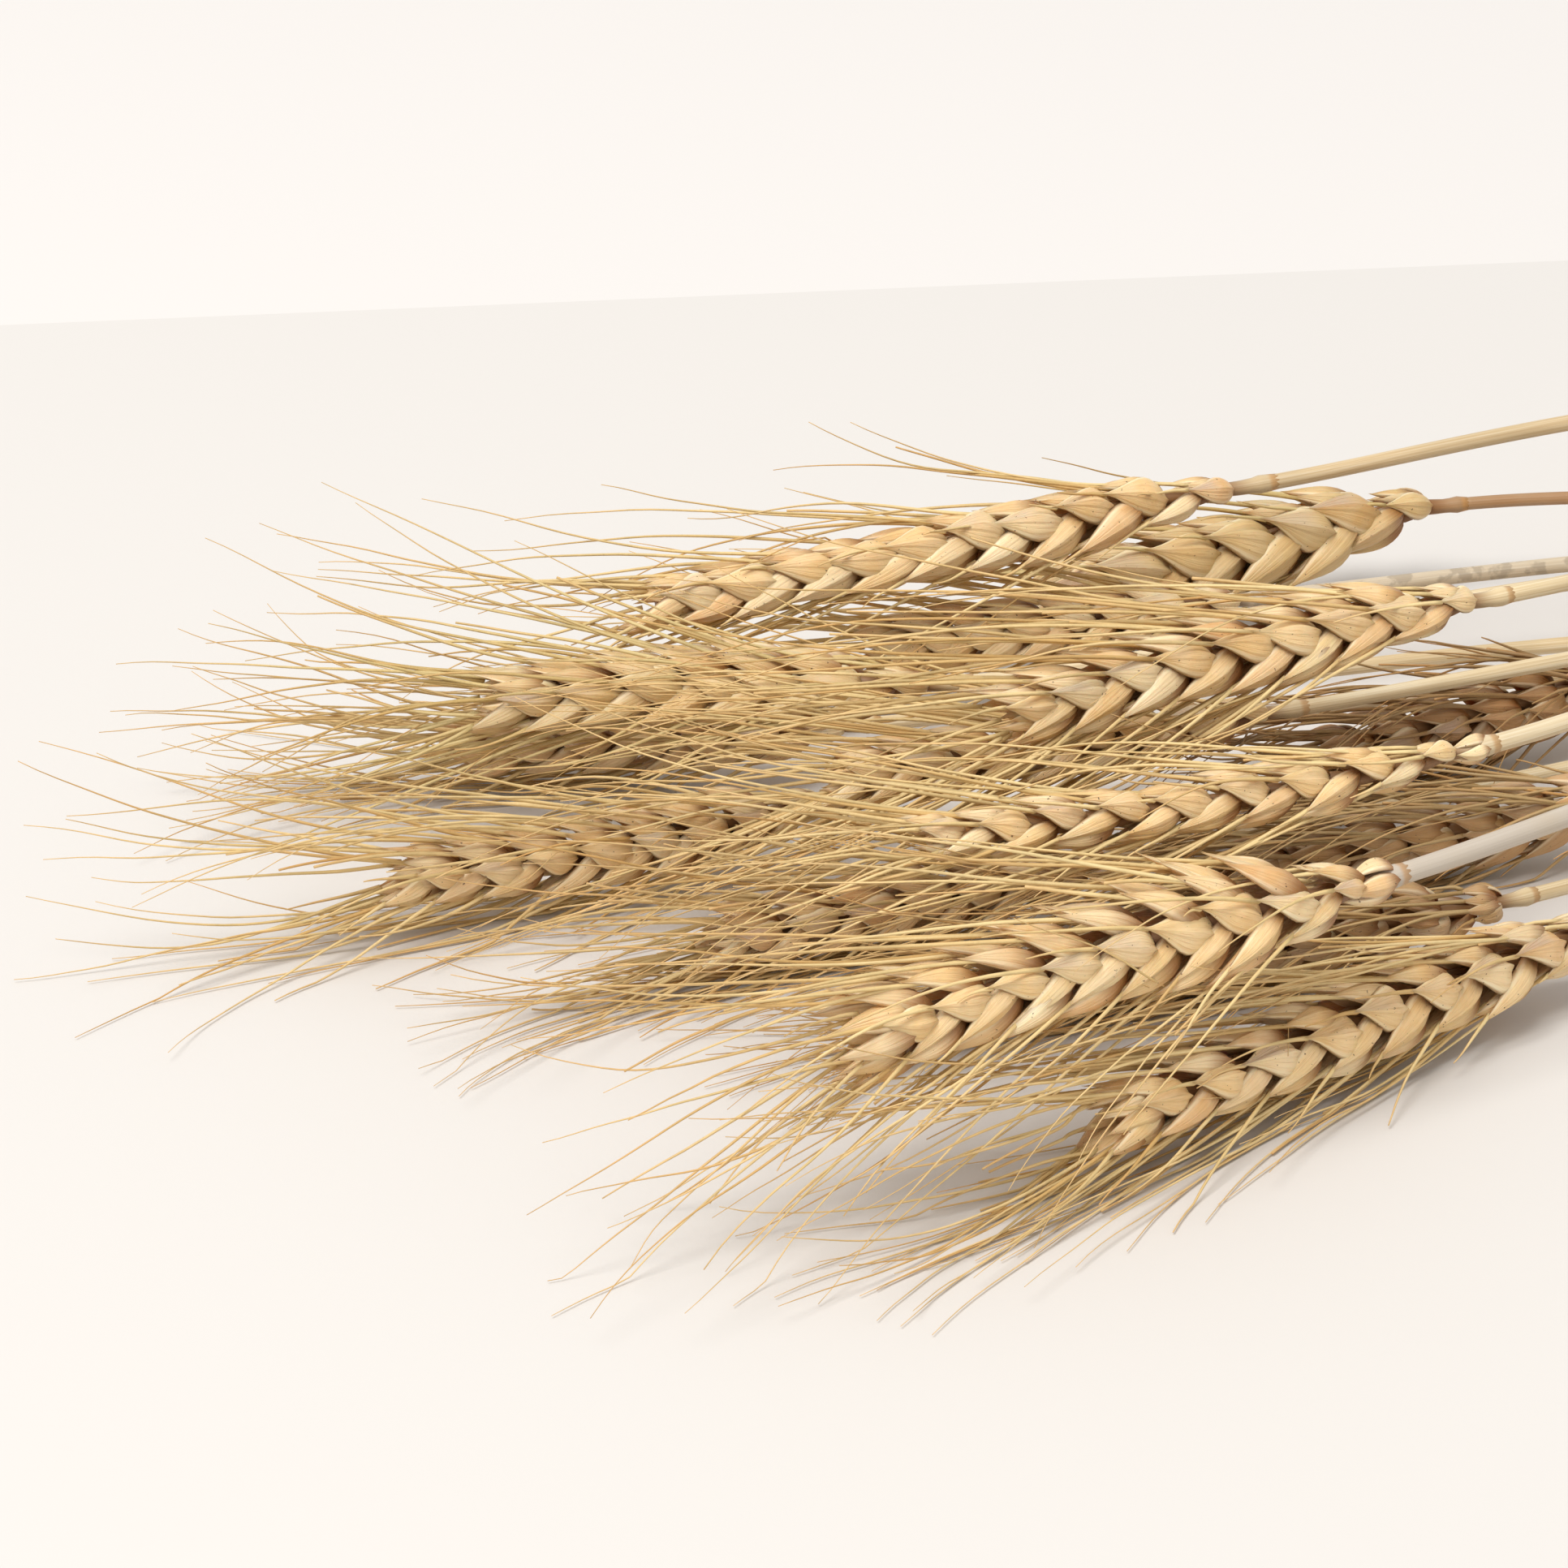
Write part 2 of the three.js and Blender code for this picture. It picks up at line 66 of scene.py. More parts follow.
STALKS = [SimpleNamespace(**PLAIN | row) for row in [
    dict(tip=(-304, 66, 25), neck=(-204, 54, 33), via=[(-110, 41, 36)], slot=(1.5, 1), straw=1.4,
         roll=115, spikelets=20, stout=1.12, splay=19, awn=62, fan=0.14, sweep=(0.05, 0.04),
         awned=(0.6, 0.3, 0.2), beak=(12, 0.1), warm=0.15, stem=0.35, plate=1.12, open=0.1, flare=0.2),
    dict(tip=(-230, 77, 10), neck=(-160, 71, 15), via=[(-90, 35, 17)], slot=(1, 0), straw=1.2, roll=110,
         spikelets=14, stout=1.3, splay=25, awn=60, fan=0.14, sweep=(0, 0.05), awned=(0.35, 0.2, 0.1),
         beak=(14, 0.1), warm=-0.5, stem=1.0, plate=1.15),
    dict(tip=(-264, 66, 12), neck=(-206, 50, 16), via=[(-110, 28, 17)], slot=(1.5, -1), straw=1.4,
         roll=100, spikelets=15, splay=24, awn=62, fan=0.2, awned=(0.9, 0.6, 0.2), beak=(26, 0.1),
         warm=0, stem=-0.6),
    dict(tip=(-279, -10, 36), neck=(-202, -14, 42), bow=(0, 1), via=[(-120, -6, 37)], slot=(0, 2),
         straw=1.4, roll=112, spikelets=17, stout=1.15, splay=23, awn=80, fan=0.12, sweep=(0.05, 0.1),
         awned=(0.9, 0.8, 0.3), beak=(46, 0.05), warm=0.05, stem=-0.1, open=0.4),
    dict(tip=(-332, 50, 23), neck=(-271, 20, 27), bow=(1, 1), via=[(-160, 13, 27)], slot=(0.5, 1),
         roll=95, spikelets=14, stout=1.15, splay=22, awn=64, fan=0.28, sweep=(0.1, 0.12),
         awned=(0.85, 0.6, 0.2), beak=(38, 0.1), warm=-0.45, stem=-0.2, open=0.3, flare=0.2),
    dict(tip=(-215, 10, 9), neck=(-154, 14, 10), via=[(-80, 8, 9)], slot=(0, 0), roll=80, spikelets=13,
         stout=1.05, splay=27, awn=60, fan=0.16, awned=(1, 1, 2.5), beak=(30, 0.1), warm=0.8, stem=-0.3),
    dict(tip=(-296, 12, 20), neck=(-227, 0, 23), via=[(-130, 2, 20)], slot=(-0.5, 1), roll=105,
         spikelets=16, splay=24, awn=70, fan=0.16, sweep=(0.05, 0.05), awned=(0.9, 0.9, 0.4),
         beak=(46, 0.1), warm=-0.1, stem=-0.2),
    dict(tip=(-304, -32, 32), neck=(-224, -49, 38), bow=(0, -2), via=[(-140, -30, 36)], slot=(-1, 2),
         straw=1.5, roll=118, spikelets=17, stout=0.92, splay=19, awn=64, fan=0.2, sweep=(0.05, 0.14),
         awned=(0.8, 0.5, 0.1), beak=(26, 0.15), warm=0.05, stem=-0.3, open=0.15),
    dict(tip=(-356, 28, 9), neck=(-286, 25, 9), bow=(-2, 0), via=[(-190, 27, 7), (-110, 14, 6)],
         slot=(0.5, -1), roll=90, spikelets=16, splay=24, awn=66, fan=0.28, sweep=(-0.04, 0.04),
         awned=(0.85, 0.6, 0.5), beak=(38, 0.15), warm=0.1, stem=0, open=0.3, flare=0.2),
    dict(tip=(-329, -71, 26), neck=(-251, -72, 34), bow=(0, 1), via=[(-150, -44, 30)], slot=(-1.5, 1),
         straw=1.7, roll=106, spikelets=18, stout=1.25, splay=26, awn=64, fan=0.36, sweep=(-0.12, 0),
         awned=(0.85, 0.4, 0.5), beak=(46, 0.5), warm=0.1, stem=-1.0, plate=0.86, open=1.0, flare=1.0),
    dict(tip=(-297, -76, 8), neck=(-201, -53, 9), via=[(-120, -32, 6)], slot=(-1.5, -1), straw=1.5,
         roll=106, spikelets=18, stout=1.2, splay=21, awn=72, fan=0.28, sweep=(-0.06, 0.04),
         awned=(0.9, 0.6, 1.6), beak=(32, 0.3), warm=0, stem=-0.2, plate=0.98, open=0.5, flare=0.5),
    dict(tip=(-283, -36, 8), neck=(-212, -42, 9), via=[(-130, -24, 5)], slot=(-1, -2), roll=60,
         spikelets=15, splay=27, awn=70, fan=0.16, awned=(1, 1, 3), beak=(34, 0.25), warm=0.5, stem=0.1),
    dict(tip=(-248, -17, 8), neck=(-173, -21, 9), via=[(-90, -10, 6)], slot=(-1, 0), straw=1.4, roll=70,
         spikelets=16, splay=27, awn=64, fan=0.14, awned=(1, 1, 2.5), beak=(34, 0.25), warm=0.6,
         stem=0.2),
    dict(tip=(-321, -5, 8), neck=(-257, -9, 9), via=[(-180, -3, 6), (-90, -1, 5)], slot=(-0.5, -1),
         roll=85, spikelets=14, splay=25, awn=64, fan=0.2, awned=(0.9, 0.8, 1.2), beak=(28, 0.1),
         warm=0.3, stem=0),
    dict(tip=(-331, 67, 8), neck=(-273, 47, 9), via=[(-170, 37, 6), (-90, 19, 5)], slot=(0, -2), roll=75,
         spikelets=13, splay=25, awn=62, fan=0.2, awned=(0.9, 0.6, 1.0), beak=(24, 0.1), warm=0.3,
         stem=0.2),
]]

# Straws and tie, as in the source.
STRAW_PITCH = 3.4
STRAW_ROW = math.sin(60 * DEGREE)
STRAW_LOWEST = 1.75
TIE_HOLD = 24
TIE_EASE = 1.15
CUT_REACH = 92
CUT_UNEVEN = 22
CUT_SPREAD = 2.2
TIE_GAP = 0.55
TWINE = 2
TIE_TURNS = 4
TIE_FLAT = 0.4

# Ears and awns, as in the source.
CORE_RADIUS = 2
SPIKELET_LENGTH = 11
SPIKELET_HALF_WIDTH = 4.4
SPIKELET_DEPTH = 2.3
TIP_APART = 0.62
SPLAY_CLOSING = 0.45
SPLAY_DRAW = 6
SUNK = 0.3
FIRST_SPIKELET = 0.05
LAST_SPIKELET = 0.9
SMALL_FOOT = 0.5
SMALL_UNTIL = 0.16
SMALL_TIP = 0.78
SMALL_FROM = 0.75
AWN_SUNK = 0.4
AWN_LENGTHS = (0.8, 1.15)
AWN_OUTWARD = (0.2, 1.5)
AWN_SIDEWAYS = (0.1, 1.2)
AWN_HEAVE = (-0.14, 0.06)
AWN_FLOOR = 0.45


def noise(a, b, c):
    """A repeatable draw from 0 to 1 for three numbers, as in the source. c keeps a stalk's draws apart."""
    x = math.sin(a * 127.1 + b * 311.7 + c * 74.7) * 43758.5453
    return x - math.floor(x)


def draw(least, most, a, b, c):
    """A repeatable draw from least to most."""
    return least + (most - least) * noise(a, b, c)


def unit(v):
    return v / norm(v)


def smooth(x, start, end):
    """Rises gently from 0 at start to 1 at end."""
    t = np.clip((x - start) / (end - start), 0, 1)
    return t * t * (3 - 2 * t)


def lengths_along(path):
    """Length of a path up to each of its points."""
    return np.concatenate([[0], np.cumsum(norm(np.diff(path, axis=0), axis=1))])


def points_at(lengths, path, run):
    """Points at the given lengths of a path, where run has the length up to each of its points."""
    return np.stack([np.interp(lengths, run, column) for column in path.T], axis=1)


# Lines of the stalks.
TANGENT_STEP = 0.0001


class Line:
    """A centripetal Catmull-Rom curve through points, as the source draws it."""

    def __init__(self, points):
        points = np.array(points, dtype=float)
        before = 2 * points[0] - points[1]
        after = 2 * points[-1] - points[-2]
        path = np.vstack([before, points, after])
        gaps = np.sum(np.diff(path, axis=0) ** 2, axis=1) ** 0.25
        x0, x1, x2, x3 = path[:-3], path[1:-2], path[2:-1], path[3:]
        d0, d1, d2 = (gaps[i:len(gaps) - 2 + i, None] for i in range(3))
        t1 = ((x1 - x0) / d0 - (x2 - x0) / (d0 + d1) + (x2 - x1) / d1) * d1
        t2 = ((x2 - x1) / d1 - (x3 - x1) / (d1 + d2) + (x3 - x2) / d2) * d1
        self.terms = (x1, t1, 3 * (x2 - x1) - 2 * t1 - t2, 2 * (x1 - x2) + t1 + t2)
        self.spans = len(points) - 1

    def point(self, t):
        place = self.spans * np.asarray(t, dtype=float)
        span = np.clip(np.floor(place), 0, self.spans - 1).astype(int)
        w = (place - span)[..., None]
        c0, c1, c2, c3 = (term[span] for term in self.terms)
        return c0 + w * (c1 + w * (c2 + w * c3))

    def tangent(self, t):
        ahead = self.point(min(1, t + TANGENT_STEP))
        behind = self.point(max(0, t - TANGENT_STEP))
        return unit(ahead - behind)


def slot_place(stalk):
    """Place of a straw in the tie, across and above the tie's middle."""
    return np.array([stalk.slot[0], stalk.slot[1] * STRAW_ROW]) * STRAW_PITCH


TIE_RADIUS = max(norm(slot_place(stalk)) + stalk.straw for stalk in STALKS) + TIE_GAP
TIE_HEIGHT = TIE_RADIUS + TWINE - TIE_FLAT


def stalk_line(index):
    """The line of a whole stalk, from the tip of its ear through the tie to its cut end."""
    stalk = STALKS[index]
    tip, neck = np.array(stalk.tip), np.array(stalk.neck)
    middle = (tip + neck) / 2 + np.array([0, *stalk.bow])
    slot = slot_place(stalk)

    def passing(x, spread):
        return (x, slot[0] * spread, max(STRAW_LOWEST, TIE_HEIGHT + slot[1] * spread))

    reach = CUT_REACH - CUT_UNEVEN * noise(index, 1, 1)
    hold = [passing(-TIE_HOLD, TIE_EASE), passing(0, 1), passing(TIE_HOLD, TIE_EASE)]
    return Line([tip, middle, neck, *stalk.via, *hold, passing(reach, CUT_SPREAD)])


LINES = [stalk_line(i) for i in range(len(STALKS))]


def ear_frame(index, e):
    """Place at share e from neck to tip of an ear, with its along, row and face directions."""
    line = LINES[index]
    t = 2 / line.spans * (1 - e)
    along = -line.tangent(t)
    level = unit(np.cross(UP, along))
    over = np.cross(along, level)
    turn = STALKS[index].roll * DEGREE
    row = level * math.cos(turn) + over * math.sin(turn)
    face = over * math.cos(turn) - level * math.sin(turn)
    return line.point(t), along, row, face


def husk_scale(e):
    """Size of a spikelet at share e of its ear."""
    foot = SMALL_FOOT + (1 - SMALL_FOOT) * np.clip(e / SMALL_UNTIL, 0, 1)
    past = np.clip((e - SMALL_FROM) / (1 - SMALL_FROM), 0, 1)
    return foot * (1 - (1 - SMALL_TIP) * past)


# Meshes: every maker returns vertices in millimetres, faces and one row of shading values for each vertex.

class Part:
    """Several closed bodies that become one mesh object."""

    def __init__(self, *body):
        self.vertices, self.faces, self.values = [], [], []
        self.count = 0
        if body:
            self.add(*body)

    def add(self, vertices, faces, values):
        self.vertices.append(vertices)
        self.faces.extend(tuple(i + self.count for i in face) for face in faces)
        self.values.append(values)
        self.count += len(vertices)


def loft_faces(rings, sides):
    """Faces of a body with an end point, rings of points and another end point, in that order."""
    last = 1 + rings * sides
    faces = []
    for k in range(sides):
        after = (k + 1) % sides
        faces.append((0, 1 + after, 1 + k))
        faces.append((last, last - sides + k, last - sides + after))
        for ring in range(rings - 1):
            low = 1 + ring * sides
            faces.append((low + k, low + after, low + sides + after, low + sides + k))
    return faces


def loft(rings, start, end, values, start_value, end_value):
    """A closed body through rings, an array of ring, side and coordinate, with shading values alike."""
    count, sides = rings.shape[:2]
    vertices = np.vstack([start, rings.reshape(-1, 3), end])
    shading = np.vstack([start_value, values.reshape(-1, values.shape[-1]), end_value])
    return vertices, loft_faces(count, sides), shading


def tube(points, radii, sides, value):
    """A round tube along points. Its shading values are shares of its length and way round, and value."""
    tangents = np.gradient(points, axis=0)
    tangents /= norm(tangents, axis=1)[:, None]
    level = np.cross(UP, tangents)
    level /= norm(level, axis=1)[:, None]
    over = np.cross(tangents, level)
    angles = np.arange(sides)[:, None] * 2 * math.pi / sides
    ways = level[:, None] * np.cos(angles) + over[:, None] * np.sin(angles)
    rings = points[:, None] + ways * np.asarray(radii)[:, None, None]
    values = np.zeros((len(points), sides, 4))
    values[..., 0] = np.linspace(0, 1, len(points))[:, None]
    values[..., 1] = np.arange(sides) / sides
    values[..., 2], values[..., 3] = value
    return loft(rings, points[0], points[-1], values, (0, 0, *value), (1, 0, *value))


# Husks. A husk is a boat with its back out: a rounded foot, a widest place, and a tapering tip. Its keel
# runs up to the tip, with a wide side away from the ear's line and a narrow side towards it. Sizes are
# millimetres for a spikelet of size 1. inner is how deep its inner side is, as a share of its back's depth,
# foot is a power of its outline, the two ends are where its sides have narrowed to the tip's width, hollow
# is how much they curve in before that, and bulge is how far the back bows out. A tongue is a glume on the
# ear's under side.
HUSK_STATIONS = np.array([0.012, 0.05, 0.12, 0.2, 0.29, 0.39, 0.49, 0.59, 0.69, 0.79, 0.89, 1.0])
OUTER_SIDES = 13
INNER_SIDES = 3
GLUME = dict(wide=2.6, narrow=2.5, depth=1.9, inner=0.55, widest=0.36, foot=0.5, wide_end=0.98,
             narrow_end=0.9, hollow=0.8, keel_height=0.7, bulge=0.45, kind=0)
TONGUE = dict(wide=2.15, narrow=1.75, depth=1.75, inner=0.1, widest=0.4, foot=0.6, wide_end=1.0,
              narrow_end=0.98, hollow=0.45, keel_height=0.5, bulge=0.55, kind=2)
INNER = dict(wide_end=1.0, narrow_end=1.0, kind=1)
LEMMA = dict(INNER, wide=1.8, narrow=1.65, depth=1.75, inner=-0.5, widest=0.36, foot=0.6, hollow=0.45,
             keel_height=0.3, bulge=0.6)
FLORET = dict(INNER, wide=1.5, narrow=1.5, depth=1.4, inner=-0.7, widest=0.38, foot=0.65, hollow=0.45,
              keel_height=0.25, bulge=0.4)
PALEA = dict(INNER, wide=1.2, narrow=1.2, depth=0.7, inner=-0.4, widest=0.42, foot=0.7, hollow=0.4,
             keel_height=0.15, bulge=0.3)
TIP_WIDTH = 0.06
POINT_LENGTH = 0.9
KEEL_SHARP = 0.1
HUSK_ROLL = 14
SIDE_BOW = 0.45
WIDTH_DRAW = 0.12
INNER_WIDTH = 0.86
FALL_POWER = 1.8
DEPTH_POWER = 0.8
KEEL_POWER = 0.5
RIM_WAVE = 0.05
RIM_TURNS = (9, 4, 2)

# The third shading value of a husk is its kind, with a draw for its tone as its decimals.
MOST_TONE = 0.999


def outline(form, end):
    """Half width of a husk along its stations, as a share of its most."""
    u, widest = HUSK_STATIONS, form["widest"]
    rising = np.clip(1 - ((widest - u) / widest) ** 2, 0, 1) ** form["foot"]
    past = np.clip((u - widest) / (end - widest), 0, 1)
    falling = (1 - form["hollow"]) * (1 - past ** FALL_POWER) + form["hollow"] * (1 - smooth(past, 0, 1))
    return np.where(u < widest, rising, TIP_WIDTH + (1 - TIP_WIDTH) * falling)


def husk(form, foot, tip, back, outward, size, own):
    """A husk from foot to tip, with its back towards back and its wide side outward. own is its tone."""
    length = tip - foot
    lean = unit(length)
    turn, bow, more = (2 * noise(*foot + step) - 1 for step in range(3))
    turn = turn * HUSK_ROLL * DEGREE
    size_across = size * (1 + WIDTH_DRAW * more)
    side = unit(np.cross(lean, back))
    side = side * math.cos(turn) + np.cross(lean, side) * math.sin(turn)
    back = np.cross(side, lean)
    wide, narrow = (outline(form, form[name])[:, None] for name in ("wide_end", "narrow_end"))
    outer = np.linspace(-90, 90, OUTER_SIDES) * DEGREE
    inner = np.linspace(90, -90, INNER_SIDES + 2)[1:-1] * DEGREE
    across = np.concatenate([np.sin(outer), INNER_WIDTH * np.sin(inner)])[None]
    high = np.concatenate([np.cos(outer), form["inner"] * np.cos(inner)])[None]
    out_of_ear = across * (1 if np.dot(side, outward) > 0 else -1)
    reach = np.where(out_of_ear > 0, wide * form["wide"], narrow * form["narrow"]) * size_across
    u = HUSK_STATIONS[:, None]
    along, drawn, sideways = RIM_TURNS
    reach = reach * (1 + RIM_WAVE * np.sin(along * u + drawn * bow + sideways * across))
    on_back = np.concatenate([np.ones(OUTER_SIDES), np.zeros(INNER_SIDES)])[None]
    keel = form["keel_height"] * on_back * np.exp(-((across / KEEL_SHARP) ** 2))
    spine = foot + u * length + (back * form["bulge"] + side * SIDE_BOW * bow) * size * np.sin(math.pi * u)
    full = (wide + narrow) / 2
    rise = (full ** DEPTH_POWER * form["depth"] * high + full ** KEEL_POWER * keel) * size
    rings = spine[:, None] + side * (reach * across)[..., None] + back * rise[..., None]
    end_value = (form["kind"] + MOST_TONE * own[0], own[1])
    values = np.zeros(rings.shape[:2] + (4,))
    values[..., 0] = u
    values[..., 1] = out_of_ear
    values[..., 2], values[..., 3] = end_value
    end = spine[-1] + lean * POINT_LENGTH * size
    return loft(rings, foot, end, values, (0, 0, *end_value), (1, 0, *end_value))


# Spikelets: the places of the husks, in shares of the spikelet's length, half width and depth. Each husk
# draws a small shift.
GLUME_FOOT = (-0.02, 0.22, -0.35)
GLUME_TIP = (0.84, 0.86, -0.45)
TONGUE_FOOT = (-0.08, 0.1, -0.5)
TONGUE_TIP = (0.95, 0.8, -0.1)
LEMMA_FOOT = (0.06, 0.15, -0.1)
LEMMA_TIP = (1.0, 0.54, -0.2)
FLORET_FOOT = (0.1, 0.0, -0.05)
FLORET_TIP = (1.05, 0.0, 0.05)
PALEA_FOOT = (0.15, 0.25, -0.05)
PALEA_TIP = (1.2, 0.3, 0.1)
OPEN_OUT = 1.05
PRESSED = 0.15
PALEAS_FROM = 0.3
GLUME_TURN = 18
LEMMA_TURN = 46
HUSK_SHIFT = 0.07
TERMINAL_AT = 0.88
TERMINAL_SIZE = 0.8
NO_AWN_BELOW = 0.6

# Rings of husks, where the first and each third one after it are tongues. One is at the top of each ear.
RING_DRAW = 0.2
TOP_HUSKS = 7
TOP_FOOT = 0.8
TOP_REACH = (8.5, 11.0)
TOP_SPREAD = 1.5
TOP_FLARE = 3.2
TOP_GROWTH = 0.25

# The small spikelets near the neck lean out less. Two ears also have a ring of small husks at the neck.
LOW_SPIKELET_EARS = (7, 9)
NECK_HUSKS = 4
NECK_HUSKS_AT = -0.005
NECK_SIZE = 0.68
NECK_SPREAD = (1.0, 1.7)
CLASPING = 0.4
CLASP_UNTIL = 0.2


def spikelet(index, k, e, at, lean, along, out, face, scale):
    """The k-th spikelet of an ear, at share e of it, with the directions that its husks and awns follow."""
    back = unit(out - lean * np.dot(out, lean))
    foot = at + out * CORE_RADIUS * SUNK

    def place(lengthwise, sideways, outward):
        return (foot + lean * lengthwise * SPIKELET_LENGTH * scale
                + face * sideways * SPIKELET_HALF_WIDTH * scale
                + back * outward * SPIKELET_DEPTH * scale)

    def drawn(number, least=0, most=1):
        return draw(least, most, index, k, number)

    stalk = STALKS[index]
    loose = stalk.open * (1 if out[2] > 0 else PRESSED)
    return SimpleNamespace(stalk=stalk, e=e, foot=foot, place=place, draw=drawn, lean=lean, along=along,
                           out=out, face=face, back=back, scale=scale, loose=loose)


def spikelets(index):
    """The spikelets of one ear as the source sets them, and one more at its tip."""
    stalk = STALKS[index]
    made = []
    step = (LAST_SPIKELET - FIRST_SPIKELET) / (stalk.spikelets - 1)
    for k in range(stalk.spikelets):
        e = FIRST_SPIKELET + step * k
        at, along, row, face = ear_frame(index, e)
        out = row * (1 if k % 2 == 0 else -1)
        splay = (stalk.splay * (1 - SPLAY_CLOSING * e) + SPLAY_DRAW * (noise(index, k, 1) - 0.5)) * DEGREE
        splay *= CLASPING + (1 - CLASPING) * smooth(e, 0, CLASP_UNTIL)
        lean = along * math.cos(splay) + out * math.sin(splay)
        scale = husk_scale(e) * stalk.stout
        made.append(spikelet(index, k, e, at, lean, along, out, face, scale))
    at, along, row, face = ear_frame(index, TERMINAL_AT)
    k = stalk.spikelets
    made.append(spikelet(index, k, 1.0, at, along, along, face, row, TERMINAL_SIZE * stalk.stout))
    return made


def place_drawn(piece, place, side, number, out=0):
    """A place in a spikelet, on the side given by 1, 0 or -1, moved out and a little by a draw."""
    shifts = [HUSK_SHIFT * (2 * piece.draw(number + step) - 1) for step in range(3)]
    return piece.place(place[0] + shifts[0], place[1] * side + shifts[1], place[2] + out + 2 * shifts[2])


def tone_of(piece, number):
    """A draw for a spikelet's own tone, and the warmth of its ear."""
    return piece.draw(number), piece.stalk.warm


def husks(index):
    """All husks of one ear. A spikelet has two glumes, two lemmas behind them and a floret between, and a
    loose one has two paleas too."""
    part = Part()
    for piece in SPIKELETS[index][:-1]:
        scale, back = piece.scale, piece.back
        form = GLUME if piece.out[2] > 0 else TONGUE
        for side in (1, -1):
            foot, tip = glume_ends(piece, side)
            over = side_way(piece, side, GLUME_TURN)
            own = tone_of(piece, 56 + 10 * side)
            part.add(*husk(form, foot, tip, over, back, scale * piece.stalk.plate, own))
            foot = place_drawn(piece, LEMMA_FOOT, side, 80 + 10 * side)
            over = side_way(piece, side, LEMMA_TURN)
            own = tone_of(piece, 86 + 10 * side)
            part.add(*husk(LEMMA, foot, inner_tip(piece, side), over, back, scale, own))
        foot = place_drawn(piece, FLORET_FOOT, 0, 110)
        part.add(*husk(FLORET, foot, inner_tip(piece, 0), back, piece.face, scale, tone_of(piece, 116)))
        if piece.loose < PALEAS_FROM:
            continue
        for side in (1, -1):
            foot = place_drawn(piece, PALEA_FOOT, side, 230 + 10 * side)
            tip = place_drawn(piece, PALEA_TIP, side, 233 + 10 * side, OPEN_OUT * piece.loose)
            part.add(*husk(PALEA, foot, tip, back, piece.face, scale, tone_of(piece, 236 + side)))
    add_top_husks(part, index)
    return part


def side_way(piece, side, turn):
    """Where the back of a husk on side 1 or -1 faces: sideways, turned by so many degrees to the back."""
    turn = turn * DEGREE
    return piece.face * side * math.cos(turn) + piece.back * math.sin(turn)


def inner_tip(piece, side):
    """The tip of a lemma, on side 1 or -1, or of the floret between them."""
    out = OPEN_OUT * piece.loose
    if side == 0:
        return place_drawn(piece, FLORET_TIP, 0, 113, out)
    return place_drawn(piece, LEMMA_TIP, side, 83 + 10 * side, out)


def glume_ends(piece, side):
    """Foot and tip of the glume on side 1 or -1."""
    ends = (GLUME_FOOT, GLUME_TIP) if piece.out[2] > 0 else (TONGUE_FOOT, TONGUE_TIP)
    foot, tip = (place_drawn(piece, end, side, 50 + 3 * n + 10 * side) for n, end in enumerate(ends))
    return foot, foot + (tip - foot) * piece.stalk.plate


def add_top_husks(part, index):
    """The husks round the tip of an ear, and round the neck of the two ears that have them there."""
    stalk = STALKS[index]
    scale = TERMINAL_SIZE * stalk.stout * (1 + TOP_GROWTH * stalk.flare)
    spread = TOP_SPREAD + TOP_FLARE * stalk.flare
    add_husk_ring(part, index, TERMINAL_AT, TOP_HUSKS, scale, (TOP_SPREAD, spread), 120)
    if index in LOW_SPIKELET_EARS:
        add_husk_ring(part, index, NECK_HUSKS_AT, NECK_HUSKS, NECK_SIZE * stalk.stout, NECK_SPREAD, 125)


def add_husk_ring(part, index, e, count, scale, spreads, number):
    """Husks round an ear's line at share e. spreads are the least and most that their tips stand off."""
    at, along, row, face = ear_frame(index, e)
    for n in range(count):
        turn = (n + draw(-RING_DRAW, RING_DRAW, index, n, number)) * 2 * math.pi / count
        way = row * math.cos(turn) + face * math.sin(turn)
        foot = at + way * TOP_FOOT * scale
        spread = draw(*spreads, index, n, number + 1)
        tip = at + along * draw(*TOP_REACH, index, n, number + 2) * scale + way * spread * scale
        form = TONGUE if n % 3 == 0 else LEMMA
        own = (noise(index, n, number + 3), STALKS[index].warm)
        part.add(*husk(form, foot, tip, way, face, scale, own))


# Awns: the source's lines with a bend, a slow wave and a finer one, pushed clear of ears, straws and table.
AWN_STEPS = 22
AWN_SIDES = 4
AWN_THICK = 0.4
AWN_THIN = 0.06
AWN_TAPER = 0.8
AWN_STOUT = (0.85, 0.15)
AWN_SHARES = (0.55, 0.45)
AWN_GROWTH = (0.15, 0.75)
INNER_AWN_DROP = 0.12
LOW_EAR = 12
OUTER_EAR = -50
LOW_SWEEP = 0.5
BEND = 10.0
BEND_POWER = 2.2
WAVE = (1.7, 0.12)
WAVES = (0.9, 3.9)
WAVE_RATES = (0.7, 1.3)
WAVE_SIZES = (0.3, 1)
WAVE_POWER = 1.2
BROKEN = 0.2
BROKEN_REACH = (0.3, 0.8)
BEAK_LEAST = 2.5
BEAK_SINKS = (0.5, 1.3)
BEAK_THICK = 0.38
BEAK_THIN = 0.1
BEAK_STEPS = 13
BEAK_LIFT = 0.3
BEAK_STRAIGHT = 0.5
BEAK_SUNK = 0.8

# Room for the awns: balls fill the ears and straws, and a line is pushed clear of those near its middle.
EAR_ROOM = 4.9
OWN_EAR_ROOM = 3.6
STRAW_ROOM = 0.5
EAR_BALLS = (0.02, 1.02, 34)
STRAW_BALLS = (0.75, 70)
AWN_NEAR = 60
BEAK_NEAR = 40
PUSHES = 5
PUSH_FROM = (0.03, 0.2)
PUSH_SPREAD = np.array([1, 2, 3, 2, 1]) / 9
LEAST_DISTANCE = 0.01


